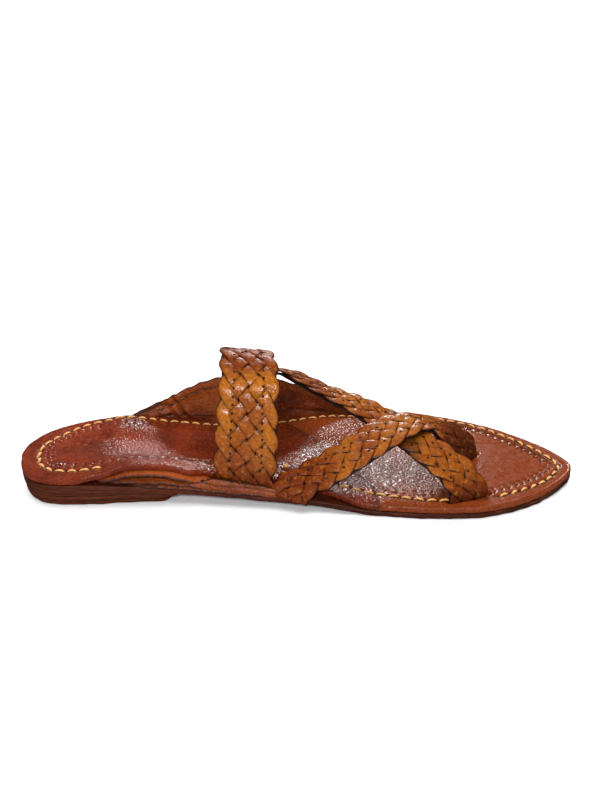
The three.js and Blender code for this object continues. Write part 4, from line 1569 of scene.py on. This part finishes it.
@dataclass(frozen=True)
class Ears:
    """The two side wings: the lateral one stands, the medial one is folded flat."""

    plan: Plan
    wall: float = 2.3

    # x, rim height, lean inwards
    lateral_rows: tuple = (
        (-97, 15.6, 0.0), (-84, 21.6, 0.3), (-72, 28.0, 0.6), (-60, 34.4, 1.0),
        (-46, 39.6, 1.4), (-32, 41.2, 1.6), (-18, 39.2, 1.6), (-4, 34.0, 1.6),
        (10, 26.0, 1.2), (22, 17.2, 0.6), (33, 9.6, 0.0),
    )
    # x, rim height
    medial_rows: tuple = (
        (-98, 12.6), (-86, 15.2), (-74, 18.0), (-62, 18.0), (-50, 15.6), (-40, 14.8),
        (-25, 13.0), (-14, 11.6), (-5, 9.8),
    )
    # folds of the lateral ear, as x and z of both ends
    creases: tuple = (
        Crease((-74.0, 27.0), (-65.0, 14.0), 1.5, 1.5),
        Crease((-71.0, 28.0), (-62.0, 14.0), -1.3, 1.0),
        Crease((-68.0, 29.0), (-59.5, 15.0), 1.4, 1.5),
        Crease((-80.0, 22.0), (-71.0, 23.0), -0.9, 0.9),
        Crease((-90.0, 17.0), (-78.0, 22.0), -0.9, 1.1),
        Crease((-84.0, 15.5), (-74.0, 18.5), 1.0, 1.2),
        Crease((-81.0, 13.5), (-72.0, 16.0), -0.8, 0.9),
        Crease((-22.0, 30.0), (2.0, 20.0), -0.9, 1.8),
        Crease((-14.0, 26.0), (8.0, 17.5), 1.0, 1.6),
        Crease((-6.0, 17.0), (14.0, 13.0), -0.8, 1.3),
    )
    leaves: tuple = (
        Leaf(-99.0, -44.0, 1.0, -1.0, (0.9, 0.9), (-70.0, -40.0), 1.9, 61),
        Leaf(-95.0, -30.0, 0.42, 0.3, (1.3, 0.1), (-70.0, -40.0), 1.7, 63),
        Leaf(-86.0, -6.0, 0.0, 1.0, (0.4, 0.8), (-60.0, -40.0), 1.8, 65),
    )

    def outward(self, side: Side, x: Array) -> tuple[Array, Array]:
        """Return the outline's outward direction at x."""
        along, step = self.plan.along_at(x), 0.004
        before, after = self.plan.x_at(along - step), self.plan.x_at(along + step)
        dx = after - before
        dy = self.plan.edge(side, after) - self.plan.edge(side, before)
        size = np.hypot(dx, dy)
        return -dy / size * side.value, dx / size * side.value

    def wing(self, side: Side, x: Array, n: Array, z: Array) -> Array:
        """Return points n mm out from the outline at x, at heights z."""
        out_x, out_y = self.outward(side, x)
        return np.stack([x + out_x * n, self.plan.edge(side, x) + out_y * n, z], axis=-1)

    def lateral_out(self, x: Array, z: Array, rise: Array, hold: Array | float) -> Array:
        """Return how far the standing wall is out: it leans, bows, and has folds and waves.

        Args:
            x: places along.
            z: their heights.
            rise: those heights as a share of the wall's.
            hold: how fully the folds show.
        """
        lean = Curve.through(self.lateral_rows, 2)(x) * rise**1.4
        folds = sum(crease.at(x, z) for crease in self.creases) * hold
        waves = 0.22 * ripple(np.stack([x, z], axis=-1), 13.0, 52) * rise
        return 0.5 * np.sin(math.pi * rise) - lean - folds + waves

    def lateral(self) -> Shape:
        """Return the standing ear: a tab, a bend and a wall that leans in, with its folds."""
        x, v = sheet_grid(-97.0, 33.5, 210, 46)
        rim = Curve.through(self.lateral_rows, 1)(x) + 0.35 * ripple(x[..., None], 9.0, 51)
        floor = self.plan.outsole_top(x) + 1.35
        rise = np.clip((v - 0.12) / 0.88, 0, 1)
        z = mix(floor, np.maximum(rim - 0.6, floor + 1.0), rise**1.05)
        n = self.lateral_out(x, z, rise, smoothstep(rise, 0.02, 0.15))
        n = n - 5.0 + 4.1 * smoothstep(v, 0.0, 0.16)
        # the folds' troughs get painted shade
        troughs = sum(np.abs(crease.at(x, z)) for crease in self.creases if crease.rise < 0)
        dark, tone = np.clip(0.55 * troughs, 0, 0.8), 0.8 * smoothstep(rise, 0.75, 1.0)
        sheet = thick_sheet(
            self.wing(Side.LATERAL, x, n, z), self.wall * (1 - 0.25 * rise),
            {"dark": dark, "tone": tone},
        )
        # the wing's outer face is darker all over
        outer = slice(x.size, 2 * x.size)
        sheet.values["dark"][outer] = np.maximum(sheet.values["dark"][outer], 0.38)
        return sheet

    def lining(self) -> Shape:
        """Return the thin lining inside the lateral ear, with a scalloped upper edge."""
        x, v = sheet_grid(-80.0, -12.0, 170, 26)
        rim = Curve.through(self.lateral_rows, 1)(x)
        scallop = 1.5 * np.abs(np.sin(math.pi * (x + 0.6 * np.sin(x)) / 5.2))
        torn = scallop * (1 - smoothstep(x, -52.0, -48.0)) + 0.5 * ripple(x[..., None], 4.0, 53)
        low = self.plan.outsole_top(x) + 8.0
        z = low + np.maximum(rim - 5.4 + torn - low, 0.6) * v
        rise = np.clip((z - self.plan.outsole_top(x) - 1.35) / (rim - 2.0), 0, 1)
        n = self.lateral_out(x, z, rise, 1.0) - 2.4 - 0.7 * smoothstep(v, 0.75, 1.0)
        # the lining is darker towards its foot
        dark = 0.25 * (1 - smoothstep(v, 0.0, 0.4))
        return thick_sheet(self.wing(Side.LATERAL, x, n, z), 1.1, {"dark": dark, "tone": 0.8 * v})

    def leaf(self, leaf: Leaf) -> Shape:
        """Return one leaf's sheet, with an uneven edge and rounded ends."""
        x, v = sheet_grid(leaf.start, leaf.end, 130, 14)
        from_middle = (x - (leaf.start + leaf.end) / 2) / ((leaf.end - leaf.start) / 2)
        ends = np.sqrt(np.clip(1 - from_middle**6, 0, 1))
        out = mix(*leaf.out, smoothstep(x, *leaf.turn)) + 0.35 * ripple(x[..., None], 6.0, leaf.seed)
        n = mix(-LEAF_REACH, out, v * ends)
        uneven = 0.3 * ripple(np.stack([x, n], axis=-1), 9.0, leaf.seed + 1)
        floor = self.plan.outsole_top(x) + self.plan.gap
        roof = self.plan.footbed_bottom(x, self.plan.edge(Side.MEDIAL, x) + 1.5)
        z = mix(floor, roof, leaf.level) + leaf.raised - 0.9 * v**3 + uneven
        middle = self.wing(Side.MEDIAL, x, n, z)[:, ::-1]
        return thick_sheet(middle, leaf.thickness, {"dark": 0.0, "tone": 0.3})

    def medial(self) -> Shape:
        """Return the folded ear: leaves behind the band and a low wall in front of it."""
        return Shape.joined([self.leaf(leaf) for leaf in self.leaves] + [self.medial_wall()])

    def medial_wall(self) -> Shape:
        """Return the low outer wall in front of the fold, which hides the straps' ends."""
        x, v = sheet_grid(-58.0, 1.0, 130, 16)
        rim = Curve.through(self.medial_rows, 1)(x) + 0.5 * ripple(x[..., None], 7.0, 67)
        floor = self.plan.outsole_top(x) + 0.6
        rim = mix(floor + 1.0, rim - 0.5, smoothstep(x, -60.0, -38.0))
        rim = mix(rim, floor + 0.9, smoothstep(x, -16.0, 1.0))
        z = mix(floor, rim, v)
        cracks = 0.6 * groove(z - floor - 3.4 + 0.05 * (x + 30) - 0.4 * np.sin(x / 5.0), 0.55)
        cracks = cracks + 0.5 * groove(z - floor - 5.6 + 0.08 * (x + 30), 0.5) * (x > -48)
        waves = 0.35 * ripple(np.stack([x, z], axis=-1), 6.0, 68)
        n = -0.6 + 0.5 * np.sin(math.pi * v) + waves - 2.6 * smoothstep(x, -16.0, 0.0) - cracks
        middle = self.wing(Side.MEDIAL, x, n, z)[:, ::-1]
        # darker all over, with painted shade in the cracks
        dark = np.clip(0.28 + 1.1 * cracks, 0, 0.85)[:, ::-1]
        return thick_sheet(middle, 1.9, {"dark": dark, "tone": 0.2})

    def build(self) -> None:
        """Build both ears and the lining."""
        leather = EAR_LEATHER.material()
        lateral = self.lateral().piece("ear_lateral_wing", leather, "ear_leather")
        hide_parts("ear_lateral")
        self.lining().piece("ear_lateral_lining", leather, "ear_leather")
        medial = self.medial().piece("ear_medial_fold", leather, "ear_leather")
        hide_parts("ear_medial")


# ------------------------------------------------------------------ studio


@dataclass(frozen=True)
class SoftBox:
    """A wide area light that points at the sandal."""

    name: str
    place: Place
    wide: float
    high: float
    power: float
    shiny: bool = True

    def build(self) -> None:
        """Put the light in the scene; one that isn't shiny makes no highlight."""
        data = bpy.data.lights.new(self.name, "AREA")
        data.shape = "RECTANGLE"
        data.size, data.size_y = self.wide, self.high
        data.energy = self.power
        lamp = bpy.data.objects.new(self.name, data)
        x, y, z = self.place
        lamp.location = self.place
        lamp.visible_glossy = self.shiny
        lamp.rotation_euler = (math.atan2(math.hypot(x, y), z), 0.0, math.atan2(x, -y))
        bpy.context.scene.collection.objects.link(lamp)


@dataclass(frozen=True)
class Studio:
    """A pale floor, soft lights and the camera."""

    eye: Place = (0.001, -0.3164, 0.1915)
    look_down: float = 25.643
    lens: float = 30.54
    world: float = 0.07
    sides: int = 64
    boxes: tuple = (
        SoftBox("light_sky", (0.0, 0.2, 1.7), 1.9, 1.7, 40.0, shiny=False),
        SoftBox("light_front", (-0.12, -1.2, 0.95), 0.5, 0.16, 10.0),
        SoftBox("light_back", (0.05, 1.25, 0.71), 0.38, 0.1, 8.0),
    )

    def dish(self) -> bpy.types.Mesh:
        """Return the floor's mesh: flat under the sandal and curved up to a wall all round."""
        mesh = bpy.data.meshes.new("floor")
        turn = np.linspace(0, math.pi / 2, 13)
        reach = np.concatenate([[0.01, 0.6], 2.3 + 0.8 * np.sin(turn), [3.1]])
        rise = np.concatenate([[0.0, 0.0], 0.8 * (1 - np.cos(turn)), [2.6]])
        around = np.linspace(0, math.tau, self.sides + 1)[:-1][:, None]
        points = np.stack(
            [reach * np.cos(around), reach * np.sin(around), rise + 0 * around], axis=-1
        )
        wall = grid_faces(self.sides + 1, len(reach)) % (self.sides * len(reach))
        middle = np.arange(self.sides) * len(reach)
        mesh.from_pydata(points.reshape(-1, 3).tolist(), [], [*wall.tolist(), middle.tolist()])
        mesh.polygons.foreach_set("use_smooth", np.ones(len(mesh.polygons), bool))
        return mesh

    def paint(self) -> bpy.types.Material:
        """Return the floor's pale paint, which glows more far away and behind the sandal."""
        paint = Graph("pale_floor")
        inputs = paint.shader.inputs
        shade = paint.noise(400.0, 2.0)
        pale = paint.blend(shade, linear((250, 250, 250)), linear((246, 246, 247)))
        paint.feed(inputs["Base Color"], pale)
        inputs["Roughness"].default_value = 0.85
        inputs["Specular IOR Level"].default_value = 0.2
        inputs["Emission Color"].default_value = (1, 1, 1, 1)
        away = paint.node("ShaderNodeVectorMath", operation="LENGTH")
        axes = paint.node("ShaderNodeSeparateXYZ")
        paint.feed(away.inputs[0], paint.place)
        paint.feed(axes.inputs[0], paint.place)
        behind = paint.spread(axes.outputs["Y"], 0.3, 1.4, 0.14, 0.75)
        far = paint.spread(away.outputs["Value"], 0.35, 1.6, 0.08, 1.0)
        paint.feed(inputs["Emission Strength"], paint.sum("MULTIPLY", far, behind))
        paint.material.cycles.emission_sampling = "NONE"
        return paint.material

    def camera(self) -> bpy.types.Object:
        """Return the camera, which looks along +Y and down."""
        data = bpy.data.cameras.new("camera")
        data.lens = self.lens
        data.sensor_width = 36.0
        data.clip_start = 0.01
        camera = bpy.data.objects.new("camera", data)
        camera.location = self.eye
        camera.rotation_euler = (math.radians(90 - self.look_down), 0.0, 0.0)
        return camera

    def build(self) -> None:
        """Make the floor, the lights, the sky and the camera."""
        scene = bpy.context.scene
        mesh = self.dish()
        mesh.materials.append(self.paint())
        floor = bpy.data.objects.new("floor", mesh)
        floor.visible_glossy = False
        scene.collection.objects.link(floor)
        scene.world = bpy.data.worlds.new("studio")
        scene.world.use_nodes = True
        sky = scene.world.node_tree.nodes["Background"].inputs
        sky["Color"].default_value = (1, 1, 1, 1)
        sky["Strength"].default_value = self.world
        for box in self.boxes:
            box.build()
        scene.camera = self.camera()
        scene.collection.objects.link(scene.camera)
        scene.view_settings.view_transform = "Standard"


# ------------------------------------------------------------------ the sandal


def corners(bounds: tuple) -> list[list[float]]:
    """Return a box's two corners as plain lists of numbers."""
    return [[float(value) for value in corner] for corner in bounds]


def main() -> None:
    """Build the sandal round its frame, part by part."""
    logging.basicConfig(level=logging.INFO, format="%(name)s %(message)s")
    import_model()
    low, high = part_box("outsole")
    plan = Plan(length=(high.x - low.x) / MM)
    Studio().build()
    Stack(plan).build()
    Footbed(plan, StitchLine(plan)).build()
    Ears(plan).build()
    Upper().build()


if __name__ == "__main__":
    main()
